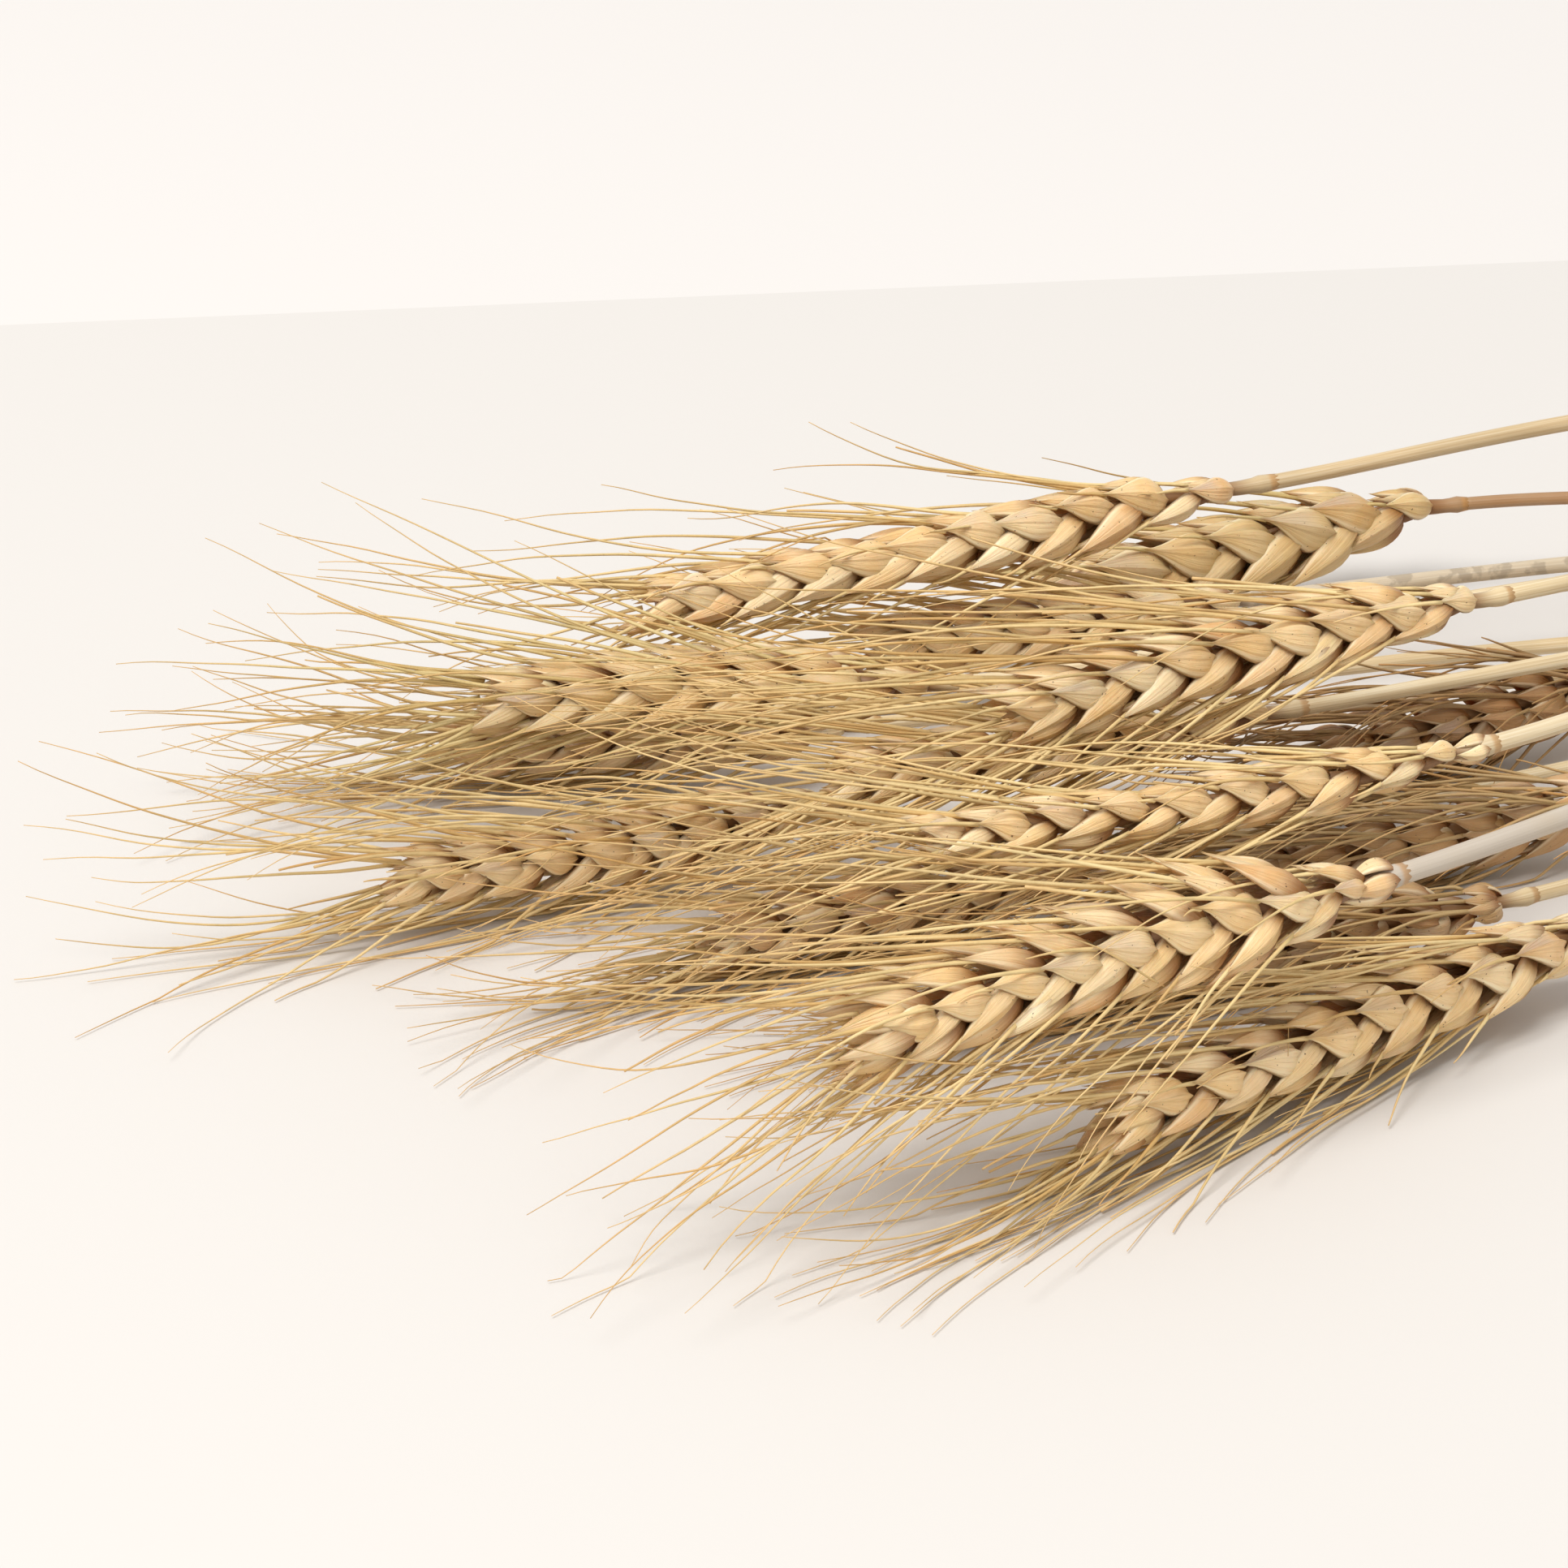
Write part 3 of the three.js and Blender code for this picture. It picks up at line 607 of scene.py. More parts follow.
def awn_share(e):
    """Length of an awn at share e of its ear, as a share of the longest."""
    least, more = AWN_SHARES
    start, run = AWN_GROWTH
    return least + more * math.sin(math.pi * (start + run * e))


def arc(start, way, last, length, t):
    """Point at share t of a line that leaves start along way and turns towards last."""
    return start + way * length * (t - t * t / 2) + last * length * t * t / 2


def awn_points(piece, floret):
    """The line of one awn. floret is 0 for the middle one, 1 or -1 for the outer two, and from 2 or -2 on
    for the inner ones."""
    stalk = piece.stalk
    side = (floret > 0) - (floret < 0)
    tip = piece.place(1, side * TIP_APART, 0)
    start = tip + (piece.foot - tip) * AWN_SUNK
    length = stalk.awn * awn_share(piece.e) * piece.draw(10 + 3 * floret, *AWN_LENGTHS)
    last = (piece.along
            + piece.out * stalk.fan * piece.draw(20 + 3 * floret, *AWN_OUTWARD)
            + piece.face * stalk.fan * side * piece.draw(30 + 3 * floret, *AWN_SIDEWAYS))
    last = last + np.array([0, *stalk.sweep])
    last[2] += piece.draw(40 + 3 * floret, *AWN_HEAVE)
    if abs(floret) > 1:
        last[2] -= INNER_AWN_DROP
        if stalk.neck[2] < LOW_EAR and stalk.neck[1] > OUTER_EAR:
            last[1] -= LOW_SWEEP
    last = unit(last)
    broken = piece.draw(140 + floret) < BROKEN
    reach = piece.draw(145 + floret, *BROKEN_REACH) if broken else 1.0

    def line(t):
        return arc(start, piece.lean, last, length, t)

    leaving = AWN_SUNK * SPIKELET_LENGTH * piece.scale / length
    t = np.linspace(leaving / 2, reach, AWN_STEPS)[:, None]
    points = line(t) + (inner_tip(piece, side) - line(leaving)) * (1 - t) ** 2
    lift = max(0, AWN_FLOOR - points[-1, 2])
    points[:, 2] = np.maximum(AWN_FLOOR, points[:, 2] + lift * t[:, 0] ** 2)
    return points + awn_wave(piece, floret, t), t[:, 0]


def awn_wave(piece, floret, t):
    """How far a waved awn is from its smooth line."""
    level = unit(np.cross(UP, piece.along))
    wave = np.zeros((len(t), 3))
    for step, way in enumerate((level, UP)):
        wave = wave + way * BEND * (2 * piece.draw(240 + 4 * floret + step) - 1) * t ** BEND_POWER
    for size, turns, number in zip(WAVE, WAVES, (150, 160)):
        for step, way in enumerate((level, UP)):
            phase = piece.draw(number + 4 * floret + step, 0, 2 * math.pi)
            rate = turns * piece.draw(number + 4 * floret + step + 2, *WAVE_RATES)
            swing = np.sin(2 * math.pi * rate * t + phase) - math.sin(phase)
            drawn = piece.draw(number + 30 + floret + step, *WAVE_SIZES)
            wave = wave + way * swing * size * drawn * t ** WAVE_POWER
    return wave


def obstacles():
    """Balls that fill the ears and straws: their centres, radii and the ear's number, or -1 for a straw."""
    centres, radii, owners = [], [], []
    for index, stalk in enumerate(STALKS):
        line = LINES[index]
        neck = 2 / line.spans
        for e in np.linspace(*EAR_BALLS):
            centres.append(line.point(neck * max(0, 1 - e)))
            radii.append(EAR_ROOM * husk_scale(e) * stalk.stout)
            owners.append(index)
        for t in np.linspace(neck, *STRAW_BALLS):
            centres.append(line.point(t))
            radii.append(stalk.straw + STRAW_ROOM)
            owners.append(-1)
    return np.array(centres), np.array(radii), np.array(owners)


def push_clear(points, shares, owner, reach):
    """Moves a line's points out of the balls within reach of its middle, and spreads each move along it.
    owner is the line's own ear, which may be nearer."""
    centres, radii, owners = OBSTACLES
    near = norm(centres - points[len(points) // 2], axis=1) < reach
    radii = np.where(owners == owner, radii * OWN_EAR_ROOM / EAR_ROOM, radii)[near]
    centres = centres[near]
    padding = len(PUSH_SPREAD) // 2
    for _ in range(PUSHES):
        away = points[:, None] - centres[None]
        distance = norm(away, axis=2)
        inside = radii[None] - distance
        worst = np.argmax(inside, axis=1)
        rows = np.arange(len(points))
        most = np.clip(inside[rows, worst], 0, None)
        ways = away[rows, worst] / np.maximum(distance[rows, worst], LEAST_DISTANCE)[:, None]
        move = ways * (most * smooth(shares, *PUSH_FROM))[:, None]
        moves = [np.convolve(np.pad(column, padding, "edge"), PUSH_SPREAD, "valid") for column in move.T]
        points = points + np.stack(moves, axis=1)
        points[:, 2] = np.maximum(points[:, 2], AWN_FLOOR)
    return points


def awns(index):
    """The awns of one ear, and the short beaks of its glumes."""
    part = Part()
    stalk = STALKS[index]
    outer, middle, inner = stalk.awned
    shares = [inner - 2, inner - 1, inner, outer]
    shares = [*shares, middle, *shares[::-1]]
    for piece in SPIKELETS[index]:
        if piece.scale < NO_AWN_BELOW * stalk.stout:
            continue
        for floret, share in enumerate(shares, -4):
            if piece.draw(130 + floret) > share:
                continue
            points, t = awn_points(piece, floret)
            radius = AWN_THICK + (AWN_THIN - AWN_THICK) * t ** AWN_TAPER
            radius = radius * (AWN_STOUT[0] + AWN_STOUT[1] * piece.scale)
            points = push_clear(points, t, index, AWN_NEAR)
            part.add(*tube(points, radius, AWN_SIDES, tone_of(piece, 170 + floret)))
        for side in (1, -1):
            points, t = beak_points(piece, side)
            radius = BEAK_THICK + (BEAK_THIN - BEAK_THICK) * t
            points = push_clear(points, t, index, BEAK_NEAR)
            part.add(*tube(points, radius, AWN_SIDES, tone_of(piece, 190 + side)))
    return part


def beak_points(piece, side):
    """The line of the beak of the glume on side 1 or -1."""
    foot, tip = glume_ends(piece, side)
    longest, sink = piece.stalk.beak
    length = piece.draw(180 + side, BEAK_LEAST, longest)
    t = np.linspace(0, 1, BEAK_STEPS)[:, None]
    way = unit(tip - foot)
    bend = piece.along + BEAK_STRAIGHT * way + BEAK_LIFT * piece.face * side
    bend = unit(bend - UP * sink * piece.draw(184 + side, *BEAK_SINKS))
    points = arc(tip - way * BEAK_SUNK * piece.scale, way, bend, length, t)
    return points + awn_wave(piece, 2 * side, t) * length / piece.stalk.awn, t[:, 0]


# Rachis: the stem inside the ear, which zigzags from spikelet to spikelet and has a collar at the neck.
RACHIS_RADIUS = 0.95
RACHIS_SIDES = 10
RACHIS_SWAY = 0.5
RACHIS_REACH = (-0.015, 0.95)
RACHIS_STEPS = 5
SWAY_FROM = (0.02, 0.12)
NECK_ENDS = 0.06
NO_JOINT = -100
COLLAR_LENGTH = 1.0
COLLAR_HEIGHT = 0.3


def rachis(index):
    stalk = STALKS[index]
    step = (LAST_SPIKELET - FIRST_SPIKELET) / (stalk.spikelets - 1)
    points, radii = [], []
    for e in np.linspace(*RACHIS_REACH, RACHIS_STEPS * stalk.spikelets):
        at, _, row, _ = ear_frame(index, e)
        swing = math.cos(math.pi * (e - FIRST_SPIKELET) / step) * smooth(e, *SWAY_FROM)
        points.append(at + row * RACHIS_SWAY * swing)
        to_collar = norm(at - np.array(stalk.neck))
        collar = COLLAR_HEIGHT * math.exp(-((to_collar / COLLAR_LENGTH) ** 2))
        straw_radius = STRAW_SLIM * stalk.straw
        slim = straw_radius + (RACHIS_RADIUS * stalk.stout - straw_radius) * smooth(e, 0, NECK_ENDS)
        radii.append(slim + collar)
    return Part(*tube(np.array(points), radii, RACHIS_SIDES, (NO_JOINT, stalk.stem)))


# Straws: round, a little slimmer below the ear, with one joint, and hollow where they are cut.
STRAW_STEPS = 110
STRAW_SIDES = 14
STRAW_SLIM = 0.86
SLIM_UNTIL = 0.5
LINE_STEPS = 2000
BORE = 0.6
BORE_DEPTH = 5
BORE_EDGE = 0.02
JOINT_SHARES = (0.5, 0.66)
JOINT_LENGTH = 1.7
JOINT_HEIGHT = 0.38
JOINT_STEPS = (-6, 6, 13)
PINCH_DEPTH = 0.14
PINCH_PAST = 2.4
PINCH_LENGTH = 0.9


def straw(index):
    stalk, line = STALKS[index], LINES[index]
    neck = 2 / line.spans
    path = line.point(np.linspace(neck, 1, LINE_STEPS))
    run = lengths_along(path)
    joint = draw(*JOINT_SHARES, index, 3, 210) * run[-1]
    near_joint = joint + np.linspace(*JOINT_STEPS)
    lengths = np.sort(np.concatenate([np.linspace(0, run[-1], STRAW_STEPS), near_joint]))
    points = points_at(lengths, path, run)
    slim = STRAW_SLIM + (1 - STRAW_SLIM) * smooth(lengths, 0, SLIM_UNTIL * run[-1])
    swell = JOINT_HEIGHT * np.exp(-(((lengths - joint) / JOINT_LENGTH) ** 2))
    pinch = PINCH_DEPTH * np.exp(-(((lengths - joint - PINCH_PAST) / PINCH_LENGTH) ** 2))
    radii = stalk.straw * slim + swell - pinch
    back = unit(points[-2] - points[-1])
    bored = [points[-1] + back * BORE_EDGE, points[-1] + back * BORE_DEPTH]
    points = np.vstack([points, *bored])
    radii = np.concatenate([radii, [stalk.straw * BORE] * len(bored)])
    vertices, faces, values = straw_tube(points, radii, len(bored), (joint, stalk.stem))
    lengths = np.append(lengths, [run[-1]] * len(bored))
    values[:, 0] = np.concatenate([[0], np.repeat(lengths, STRAW_SIDES), [run[-1]]])
    return Part(vertices, faces, values)


def straw_tube(points, radii, bored, tone):
    """A tube whose last rings turn back into its bore, so they keep the directions of the cut."""
    whole = len(points) - bored
    vertices, _, values = tube(points[:whole], radii[:whole], STRAW_SIDES, tone)
    cut = vertices[-1 - STRAW_SIDES:-1] - points[whole - 1]
    rings = [vertices[1:-1]]
    for step in range(whole, len(points)):
        rings.append(points[step] + cut * radii[step] / radii[whole - 1])
    vertices = np.vstack([vertices[0], *rings, points[-1]])
    more = np.repeat(values[-2:-1], STRAW_SIDES * bored, axis=0)
    values = np.vstack([values[:-1], more, values[-1]])
    return vertices, loft_faces(len(points), STRAW_SIDES), values


# Tie: one twine of three twisted strands, wound side by side and pressed flat on the table.
TWINE_SIDES = 18
TWINE_STEP = 0.45
STRANDS = 3
STRAND_DEPTH = 0.14
STRAND_PITCH = 5.5
TUCK = 0.9
HUG_FROM = (-0.7, 0.1)
HUG_STEPS = (721, 1441)
TUCK_ANGLE = 22
END_ANGLE = 60
END_SAVED = 0.3
THIN_END = (0.45, 0.55)
THIN_END_ANGLE = 8
STRAND_POWER = 0.7


def hugging(turn):
    """How far the twine's middle lies from the tie's, in directions given by angles from the top. It keeps
    close to the straws on top, and it is round below, where it rests on the table."""
    angles = np.linspace(0, 2 * math.pi, HUG_STEPS[0])
    ways = np.stack([np.sin(angles), np.cos(angles)], axis=1)
    places = np.array([slot_place(stalk) for stalk in STALKS])
    rounds = np.array([stalk.straw for stalk in STALKS])
    touched = np.argmax(ways @ places.T + rounds, axis=1)
    close = places[touched] + (rounds[touched] + TWINE / 2)[:, None] * ways
    run = lengths_along(close)
    close = points_at(np.linspace(0, run[-1], HUG_STEPS[1]), close, run)
    directions = np.arctan2(close[:, 0], close[:, 1])
    tight = np.interp(turn, directions, norm(close, axis=1), period=2 * math.pi)
    above = smooth(np.cos(turn), *HUG_FROM)
    return tight * above + (TIE_RADIUS + TWINE / 2) * (1 - above)


def twine():
    radius = TIE_RADIUS + TWINE / 2
    turning = 360 * TIE_TURNS
    angles = np.arange(0, turning, TWINE_STEP / radius / DEGREE)
    from_end = np.minimum(angles, turning - angles)
    x = (angles / turning - 0.5) * TWINE * (TIE_TURNS - END_SAVED)
    turn = (angles - END_ANGLE) * DEGREE
    reach = hugging(turn) - TUCK * (1 - smooth(from_end, 0, TUCK_ANGLE))
    points = np.stack([x, reach * np.sin(turn), TIE_HEIGHT + reach * np.cos(turn)], axis=1)
    out = np.stack([0 * x, np.sin(turn), np.cos(turn)], axis=1)
    thick = (TWINE / 2) * (THIN_END[0] + THIN_END[1] * smooth(from_end, 0, THIN_END_ANGLE))
    round_it = np.arange(TWINE_SIDES) * 2 * math.pi / TWINE_SIDES
    run = angles * DEGREE * radius
    strand = np.abs(np.sin(STRANDS / 2 * (round_it[None] + 2 * math.pi * run[:, None] / STRAND_PITCH)))
    size = thick[:, None] * (1 - STRAND_DEPTH + STRAND_DEPTH * strand ** STRAND_POWER)
    wide, high = size * np.sin(round_it), size * np.cos(round_it)
    rings = points[:, None] + wide[..., None] * np.array([1.0, 0, 0]) + high[..., None] * out[:, None]
    rings[..., 2] = np.maximum(rings[..., 2], 0)
    values = np.zeros(rings.shape[:2] + (4,))
    values[..., 0] = run[:, None]
    values[..., 1] = strand
    return Part(*loft(rings, points[0], points[-1], values, (0, 1, 0, 0), (0, 1, 0, 0)))


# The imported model's frame: its tie says how far it is from the frame that the shapes are worked out in.
SHIFT = np.mean([list(corner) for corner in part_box("twine_tie")], axis=0) * (1, 1, 0)


def new_object(name, data):
    """An object of the scene that shows data."""
    made = bpy.data.objects.new(name, data)
    bpy.context.collection.objects.link(made)
    return made


def piece_object(name, part, material, node):
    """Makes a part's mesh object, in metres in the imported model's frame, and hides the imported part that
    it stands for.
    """
    vertices = np.vstack(part.vertices)
    vertices[:, 2] = np.maximum(vertices[:, 2], 0)
    vertices = vertices * MM + SHIFT
    mesh = bpy.data.meshes.new(name)
    mesh.from_pydata(vertices.tolist(), [], part.faces)
    values = np.vstack(part.values).astype(np.float32)
    where = mesh.attributes.new("where", "FLOAT_VECTOR", "POINT")
    where.data.foreach_set("vector", values[:, :3].ravel())
    warm = mesh.attributes.new("warm", "FLOAT", "POINT")
    warm.data.foreach_set("value", values[:, 3].copy())
    mesh.shade_smooth()
    mesh.materials.append(material)
    piece = new_object(name, mesh)
    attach(piece, "root")
    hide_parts(node)


# Materials. A place's shading values are the vector "where" and the number "warm".
HUSK_GOLDS = [(0.0, "#efcb92"), (0.4, "#e9bf80"), (0.75, "#f4d9aa"), (1.0, "#e2b072")]
# On the low ears, the dark orange of the husk and awn tints is partly painted shade.
HUSK_TINTS = ("#ab9155", "#a06c38")
CLOUD_CREAM = "#f8e4bf"
EDGE_CREAM = "#f6e6c4"
RIM_SHADE_BROWN = "#8a5f30"
PATCH_LILAC = "#b5a294"
VEIN_BROWN = "#8a6238"
FOOT_BROWN_AND_SHADE = "#7d4d22"
HIDDEN_SHADE_BROWN = "#8c531b"
POINT_ORANGE = "#b98748"
SPECK_BROWN = "#4a3018"
STREAK_ORANGE = "#b5803f"
AWN_GOLDS = [(0.0, "#e0c286"), (0.5, "#efd49a"), (1.0, "#cfa664")]
AWN_TINTS = ("#a3955a", "#7c4b1c")
AWN_END_ORANGE = "#cf9a5a"
AWN_OLIVE = "#9a8650"
STRAW_GOLDS = [(0.3, "#c2a67a"), (0.5, "#dcc59a"), (0.7, "#ecdcbb")]
STRAW_TINTS = ("#b9aea2", "#96663a")
STRAW_CLOUD = "#b7a27d"
RACHIS_BROWN = "#80501f"
COLLAR_ORANGE = "#c08a48"
MOTTLE_GREY = "#8a7a66"
JOINT_BROWN = "#85633a"
TWINE_BROWNS = [(0.3, "#8c6d42"), (0.55, "#a98a5b"), (0.75, "#c5a877")]
GROOVE_SHADE_BROWN = "#5f4526"


def colour(code):
    """The linear colour of a web colour."""
    shares = [int(code[i:i + 2], 16) / 255 for i in (1, 3, 5)]
    return [c / 12.92 if c <= 0.04045 else ((c + 0.055) / 1.055) ** 2.4 for c in shares] + [1.0]


class Graph:
    """A material's nodes. An input may be a number, a colour or another node's output."""

    def __init__(self, name):
        self.material = bpy.data.materials.new(name)
        self.material.use_nodes = True
        self.tree = self.material.node_tree
        self.shader = self.tree.nodes["Principled BSDF"]

    def fill(self, socket, value):
        if isinstance(value, bpy.types.NodeSocket):
            self.tree.links.new(value, socket)
        else:
            socket.default_value = value

    def set(self, **values):
        """Sets the shader's inputs by their names."""
        for name, value in values.items():
            self.fill(self.shader.inputs[name.replace("_", " ")], value)

    def node(self, kind, inputs, **settings):
        """Adds a node with the given settings and inputs, and returns its outputs."""
        made = self.tree.nodes.new(kind)
        for name, value in settings.items():
            setattr(made, name, value)
        for socket, value in inputs.items():
            self.fill(made.inputs[socket], value)
        return made.outputs

    def math(self, operation, first, second=0.0):
        return self.node("ShaderNodeMath", {0: first, 1: second}, operation=operation)[0]

    def times(self, first, second):
        return self.math("MULTIPLY", first, second)

    def plus(self, first, second):
        return self.math("ADD", first, second)

    def less(self, first, second):
        return self.math("SUBTRACT", first, second)

    def apart(self, first, second=0.0):
        """How far two values are from each other."""
        return self.math("ABSOLUTE", self.less(first, second))

    def between(self, value, start, end):
        """0 below start, 1 above end, and smooth between. From 1 down to 0 where start is above end."""
        inputs = {"Value": value, "From Min": start, "From Max": end}
        return self.node("ShaderNodeMapRange", inputs, interpolation_type="SMOOTHSTEP")["Result"]

    def mix(self, share, first, second):
        return self.node("ShaderNodeMix", {0: share, 6: first, 7: second}, data_type="RGBA")[2]

    def paint(self, base, *layers):
        """base under layers, each a web colour, where it lies and how much of it shows, from 0 to 1."""
        for code, where, amount in layers:
            base = self.mix(self.times(where, amount), base, colour(code))
        return base

    def tints(self, codes, amount):
        """Layers of olive where the ear's warmth is below 0 and of orange where it is above."""
        return [(code, self.between(self.warm(), 0.0, end), amount) for code, end in zip(codes, (-1, 1))]

    def ramp(self, value, stops):
        made = self.tree.nodes.new("ShaderNodeValToRGB")
        elements = made.color_ramp.elements
        while len(elements) < len(stops):
            elements.new(0.5)
        for element, (place, code) in zip(elements, stops):
            element.position = place
            element.color = colour(code)
        self.fill(made.inputs[0], value)
        return made.outputs[0]

    def noise(self, scale, detail=3.0, vector=None):
        if vector is None:
            vector = self.node("ShaderNodeTexCoord", {})["Object"]
        return self.node("ShaderNodeTexNoise", {"Vector": vector, "Scale": scale, "Detail": detail})[0]

    def where(self):
        """The three numbers of the vector "where"."""
        vector = self.node("ShaderNodeAttribute", {}, attribute_name="where")["Vector"]
        return self.node("ShaderNodeSeparateXYZ", {0: vector})

    def warm(self):
        return self.node("ShaderNodeAttribute", {}, attribute_name="warm")["Fac"]

    def vector(self, x, y, z):
        return self.node("ShaderNodeCombineXYZ", {0: x, 1: y, 2: z})[0]

    def bump(self, height, distance, strength=1.0):
        return self.node("ShaderNodeBump", {"Height": height, "Distance": distance, "Strength": strength})[0]


def husk_material():
    """Straw gold, veins meeting at the tip, lilac patches, pale edges, brown feet, and painted shade on
    rims, feet and covered husks.
    """
    graph = Graph("dried_husk")
    along, across, tone = graph.where()
    kind = graph.math("FLOOR", tone)
    drawn = graph.math("FRACT", tone)
    off_middle = graph.apart(across)
    glume = graph.less(1.0, graph.math("MINIMUM", kind, 1.0))
    tongue = graph.math("MAXIMUM", graph.less(kind, 1.0), 0.0)
    lemma = graph.less(1.0, graph.plus(glume, tongue))
    middle = graph.between(graph.apart(across, 0.4), 0.6, 0.25)
    patch = graph.times(graph.times(graph.between(along, 0.3, 0.62), middle), glume)
    patch = graph.times(patch, graph.between(drawn, 0.1, 0.9))
    lines = graph.math("COSINE", graph.times(across, 26.0))
    vein = graph.times(graph.between(lines, 0.7, 1.0), graph.between(along, 0.05, 0.4))
    foot = graph.between(graph.plus(along, graph.times(graph.noise(500.0), 0.1)), 0.2, 0.03)
    # Painted shade: lemmas are darker where the glumes cover them, and tongues at their feet tucked under
    # the glumes.
    behind = graph.times(lemma, graph.between(along, 0.62, 0.2))
    tucked_shade = graph.times(tongue, graph.between(along, 0.42, 0.1))
    streak = graph.noise(2.2, 3.0, graph.vector(graph.times(across, 9.0), graph.times(along, 1.5), tone))
    base = graph.paint(
        graph.ramp(drawn, HUSK_GOLDS),
        (CLOUD_CREAM, graph.between(graph.noise(260.0), 0.3, 0.7), 0.3),
        *graph.tints(HUSK_TINTS, 0.8),
        (EDGE_CREAM, graph.between(off_middle, 0.78, 0.95), 0.55),
        # painted shade: a thin dark line along the rims, where husks overlap
        (RIM_SHADE_BROWN, graph.between(off_middle, 0.95, 1.0), 0.55),
        (PATCH_LILAC, patch, 0.55),
        (VEIN_BROWN, vein, graph.plus(graph.times(patch, 0.3), 0.1)),
        # brown at the husk feet, partly their own colour and partly painted shade under the husks above
        (FOOT_BROWN_AND_SHADE, foot, graph.less(0.75, graph.times(glume, 0.4))),
        # painted shade on the covered lemmas and tucked tongues
        (HIDDEN_SHADE_BROWN, graph.plus(behind, tucked_shade), 0.85),
        (POINT_ORANGE, graph.between(along, 0.86, 1.0), 0.45),
        (SPECK_BROWN, graph.between(graph.noise(1900.0, 1.0), 0.735, 0.77), 0.8),
        (STREAK_ORANGE, graph.between(streak, 0.52, 0.72), 0.4))
    height = graph.plus(graph.times(lines, 0.18), streak)
    height = graph.plus(height, graph.times(graph.noise(1500.0), 0.5))
    graph.set(Base_Color=base, Roughness=0.42, Normal=graph.bump(height, 0.00018, 0.6))
    graph.set(Subsurface_Weight=0.12, Subsurface_Scale=0.002)
    return graph.material


def awn_material():
    """Olive straw at the foot, turning orange towards the thin end."""
    graph = Graph("dried_awn")
    along, _, drawn = graph.where()
    thin = graph.between(graph.plus(along, graph.times(drawn, 0.3)), 0.45, 1.1)
    base = graph.paint(
        graph.ramp(drawn, AWN_GOLDS),
        *graph.tints(AWN_TINTS, 0.8),
        (AWN_END_ORANGE, thin, 0.45),
        (AWN_OLIVE, graph.between(graph.noise(180.0), 0.4, 0.65), 0.25))
    graph.set(Base_Color=base, Roughness=0.5, Normal=graph.bump(graph.noise(2500.0), 0.00008))
    return graph.material


def straw_material():
    """Pale straw with fine lines along it, an orange collar and a darker joint. It is brown in an ear."""
    graph = Graph("dried_straw")
    along, around, joint = graph.where()
    in_ear = graph.between(joint, 0.0, NO_JOINT / 2)
    fine = graph.noise(2.0, 4.0, graph.vector(graph.times(along, 0.02), graph.times(around, 14.0), joint))
    below = graph.times(graph.between(along, 1.0, 0.5), graph.less(1.0, in_ear))
    above = graph.times(graph.between(along, 0.012, 0.006), in_ear)
    greyish = graph.between(graph.warm(), -0.35, -0.6)
    mottled = graph.times(graph.between(graph.noise(420.0), 0.5, 0.62), greyish)
    mottled = graph.times(mottled, graph.between(graph.warm(), -0.9, -0.7))
    base = graph.paint(
        graph.ramp(fine, STRAW_GOLDS),
        *graph.tints(STRAW_TINTS, 0.85),
        (STRAW_CLOUD, graph.between(graph.noise(60.0), 0.4, 0.7), 0.3),
        (RACHIS_BROWN, graph.times(in_ear, graph.between(along, 0.02, 0.08)), 0.85),
        (COLLAR_ORANGE, graph.plus(below, above), 0.65),
        (MOTTLE_GREY, mottled, 0.5),
        (JOINT_BROWN, graph.between(graph.apart(along, joint), 3.0, 1.0), 0.6))
    graph.set(Base_Color=base, Roughness=0.48, Normal=graph.bump(fine, 0.00012, 0.7))
    return graph.material


def twine_material():
    """Brown jute with painted shade in the grooves between its strands."""
    graph = Graph("jute_twine")
    _, ridge, _ = graph.where()
    fibre = graph.noise(1400.0, 5.0)
    # Painted shade darkens the grooves between the strands.
    base = graph.mix(graph.between(ridge, 0.5, 0.1), graph.ramp(fibre, TWINE_BROWNS), colour(GROOVE_SHADE_BROWN))
    graph.set(Base_Color=base, Roughness=0.9, Normal=graph.bump(fibre, 0.0002))
    return graph.material


SPIKELETS = [spikelets(i) for i in range(len(STALKS))]
OBSTACLES = obstacles()


def bundle():
    husk_finish, awn_finish = husk_material(), awn_material()
    straw_finish, twine_finish = straw_material(), twine_material()
    for index in range(len(STALKS)):
        number = f"{index + 1:02d}"
        ear = "ear_" + number
        piece_object("husks_" + number, husks(index), husk_finish, ear)
        piece_object("awns_" + number, awns(index), awn_finish, ear)
        piece_object("rachis_" + number, rachis(index), straw_finish, ear)
        piece_object("culm_" + number, straw(index), straw_finish, "straw_" + number)
    piece_object("wound_twine", twine(), twine_finish, "twine_tie")


# Floor, light and camera. The floor ends behind the bundle, where a paler sheet begins.
FLOOR_END = [(-335, 272), (-71, 188)]
FLOOR_COLOUR = "#d6d1cb"
FAR_COLOUR = "#ddd8d3"
FLOOR_ROUGHNESS = 0.7
SHEET_REACH = 9000
AZIMUTH = -24
ELEVATION = 26
DISTANCE = 950
VIEW_WIDTH = 227
TARGET = (-295, 28, 12)
SENSOR = 36
CLIP_END = 20
WORLD_STRENGTH = 0.76
WINDOW_AT = (-1500, -550, 2500)
WINDOW_SIZE = 1.7
WINDOW_POWER = 67.0


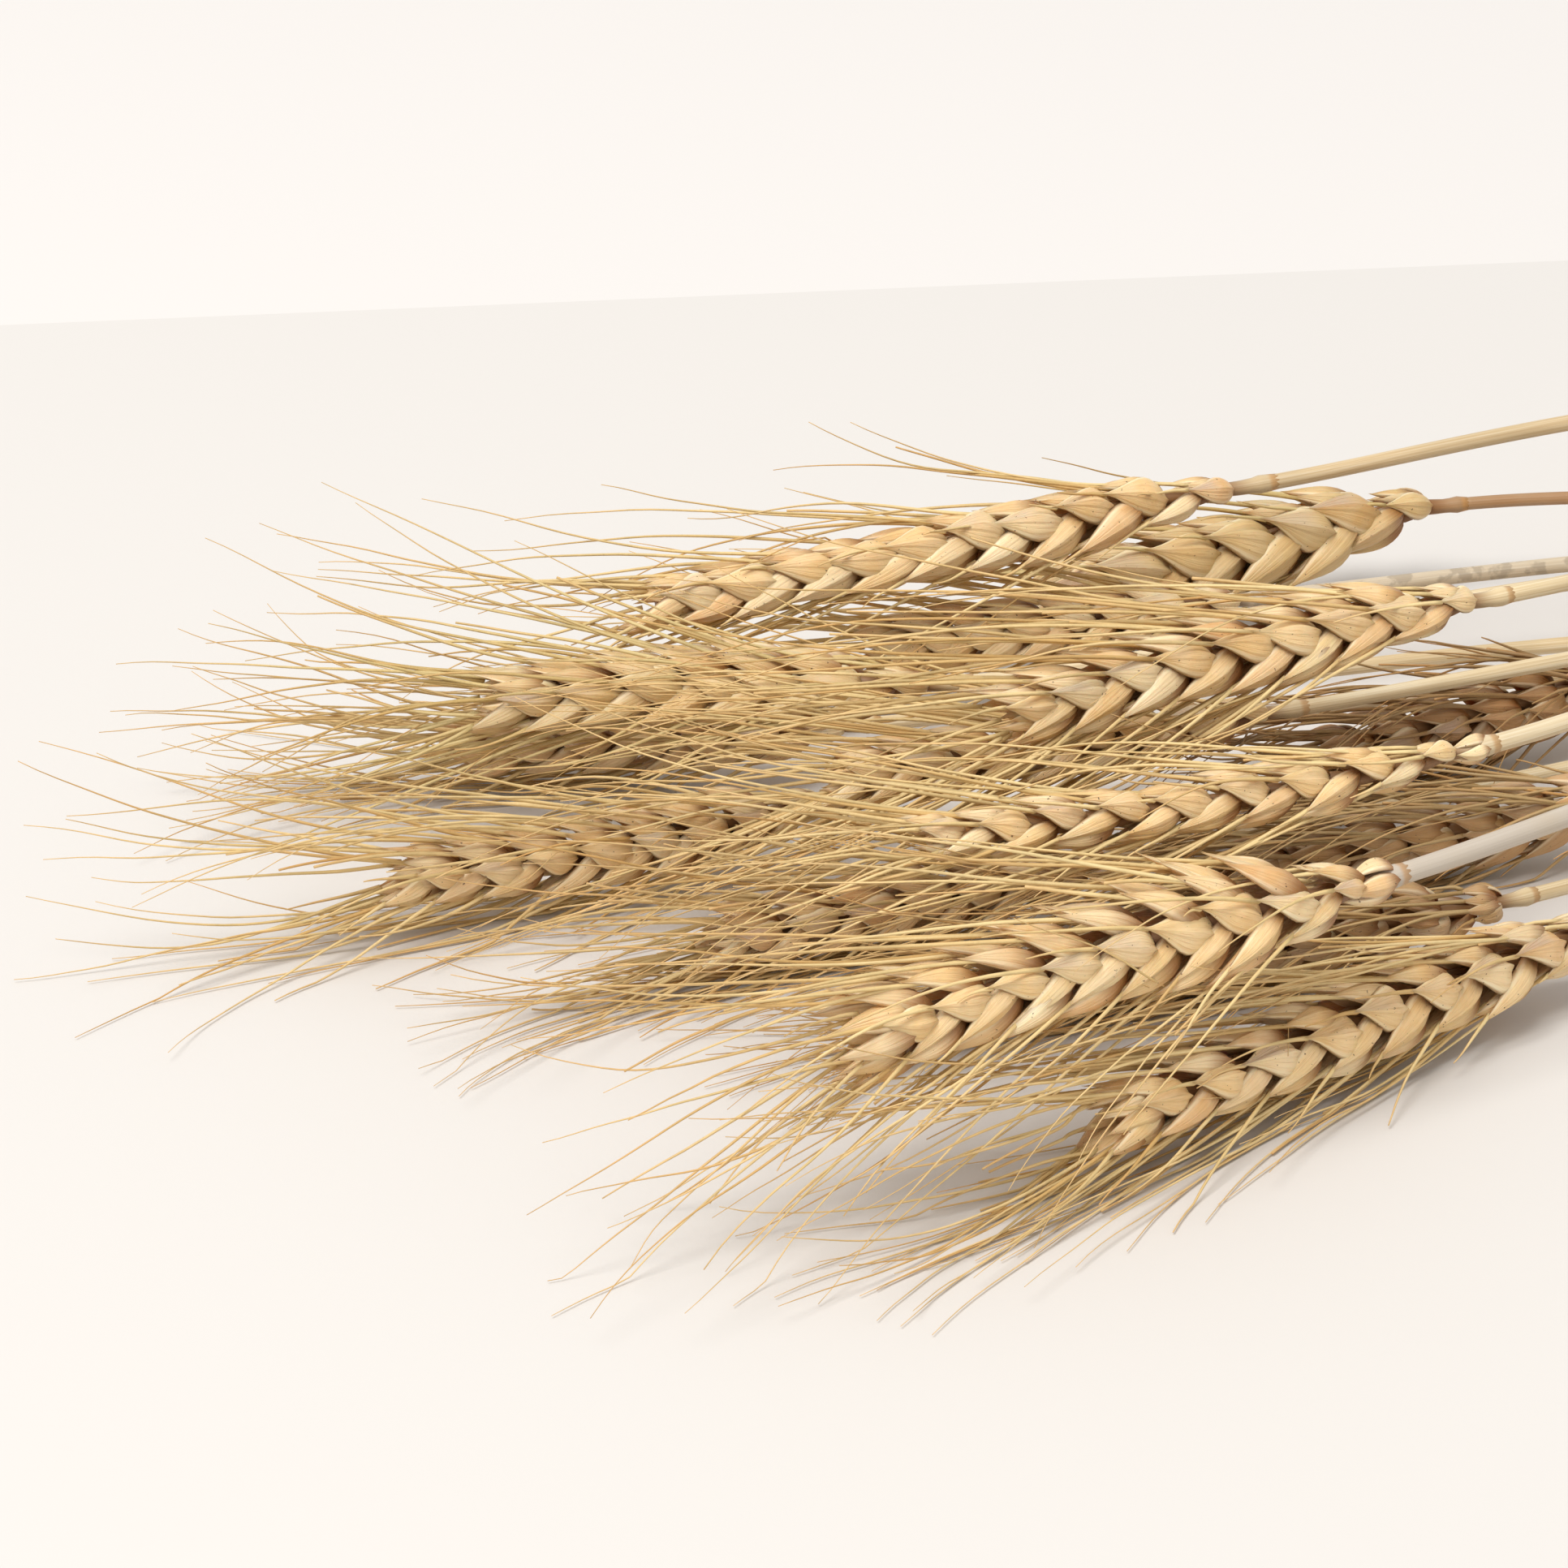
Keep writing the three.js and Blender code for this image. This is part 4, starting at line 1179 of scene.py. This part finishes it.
def row_point(point):
    """A point of the design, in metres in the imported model's frame."""
    return Vector(np.array(point) * MM + SHIFT)


def facing(way):
    """The turn of a lamp or camera that looks along way."""
    return way.to_track_quat("-Z", "Y").to_euler()


def stage_sheet(name, corners, code):
    graph = Graph("pale_" + name)
    graph.set(Base_Color=colour(code), Roughness=FLOOR_ROUGHNESS)
    mesh = bpy.data.meshes.new(name)
    mesh.from_pydata([row_point(corner) for corner in corners], [], [(0, 1, 2, 3)])
    mesh.materials.append(graph.material)
    sheet = new_object(name, mesh)


def stage():
    """Two level sheets that meet at the end of the floor, both facing up."""
    left, right = np.array(FLOOR_END)
    way = unit(right - left) * SHEET_REACH
    across = np.array([way[1], -way[0]])
    for name, side, code in (("floor", 1, FLOOR_COLOUR), ("far_floor", -1, FAR_COLOUR)):
        corners = [left - way, left - way + across * side, left + way + across * side, left + way]
        stage_sheet(name, [(*corner, 0) for corner in corners[::side]], code)


def light():
    world = bpy.data.worlds.new("soft_light")
    world.use_nodes = True
    background = world.node_tree.nodes["Background"]
    background.inputs["Color"].default_value = (1, 1, 1, 1)
    background.inputs["Strength"].default_value = WORLD_STRENGTH
    bpy.context.scene.world = world
    data = bpy.data.lights.new("window", "AREA")
    data.shape = "DISK"
    data.size = WINDOW_SIZE
    data.energy = WINDOW_POWER
    lamp = new_object("window", data)
    lamp.location = row_point(WINDOW_AT)
    lamp.rotation_euler = facing(row_point(TARGET) - lamp.location)
    bpy.context.scene.view_settings.view_transform = "Standard"


def camera():
    data = bpy.data.cameras.new("photo_camera")
    data.sensor_width = SENSOR
    data.lens = SENSOR * DISTANCE / VIEW_WIDTH
    data.clip_end = CLIP_END
    made = new_object("photo_camera", data)
    turn, rise = AZIMUTH * DEGREE, ELEVATION * DEGREE
    back = Vector((math.sin(turn) * math.cos(rise), -math.cos(turn) * math.cos(rise), math.sin(rise)))
    made.location = row_point(TARGET) + back * DISTANCE * MM
    made.rotation_euler = facing(-back)
    bpy.context.scene.camera = made


bundle()
stage()
light()
camera()
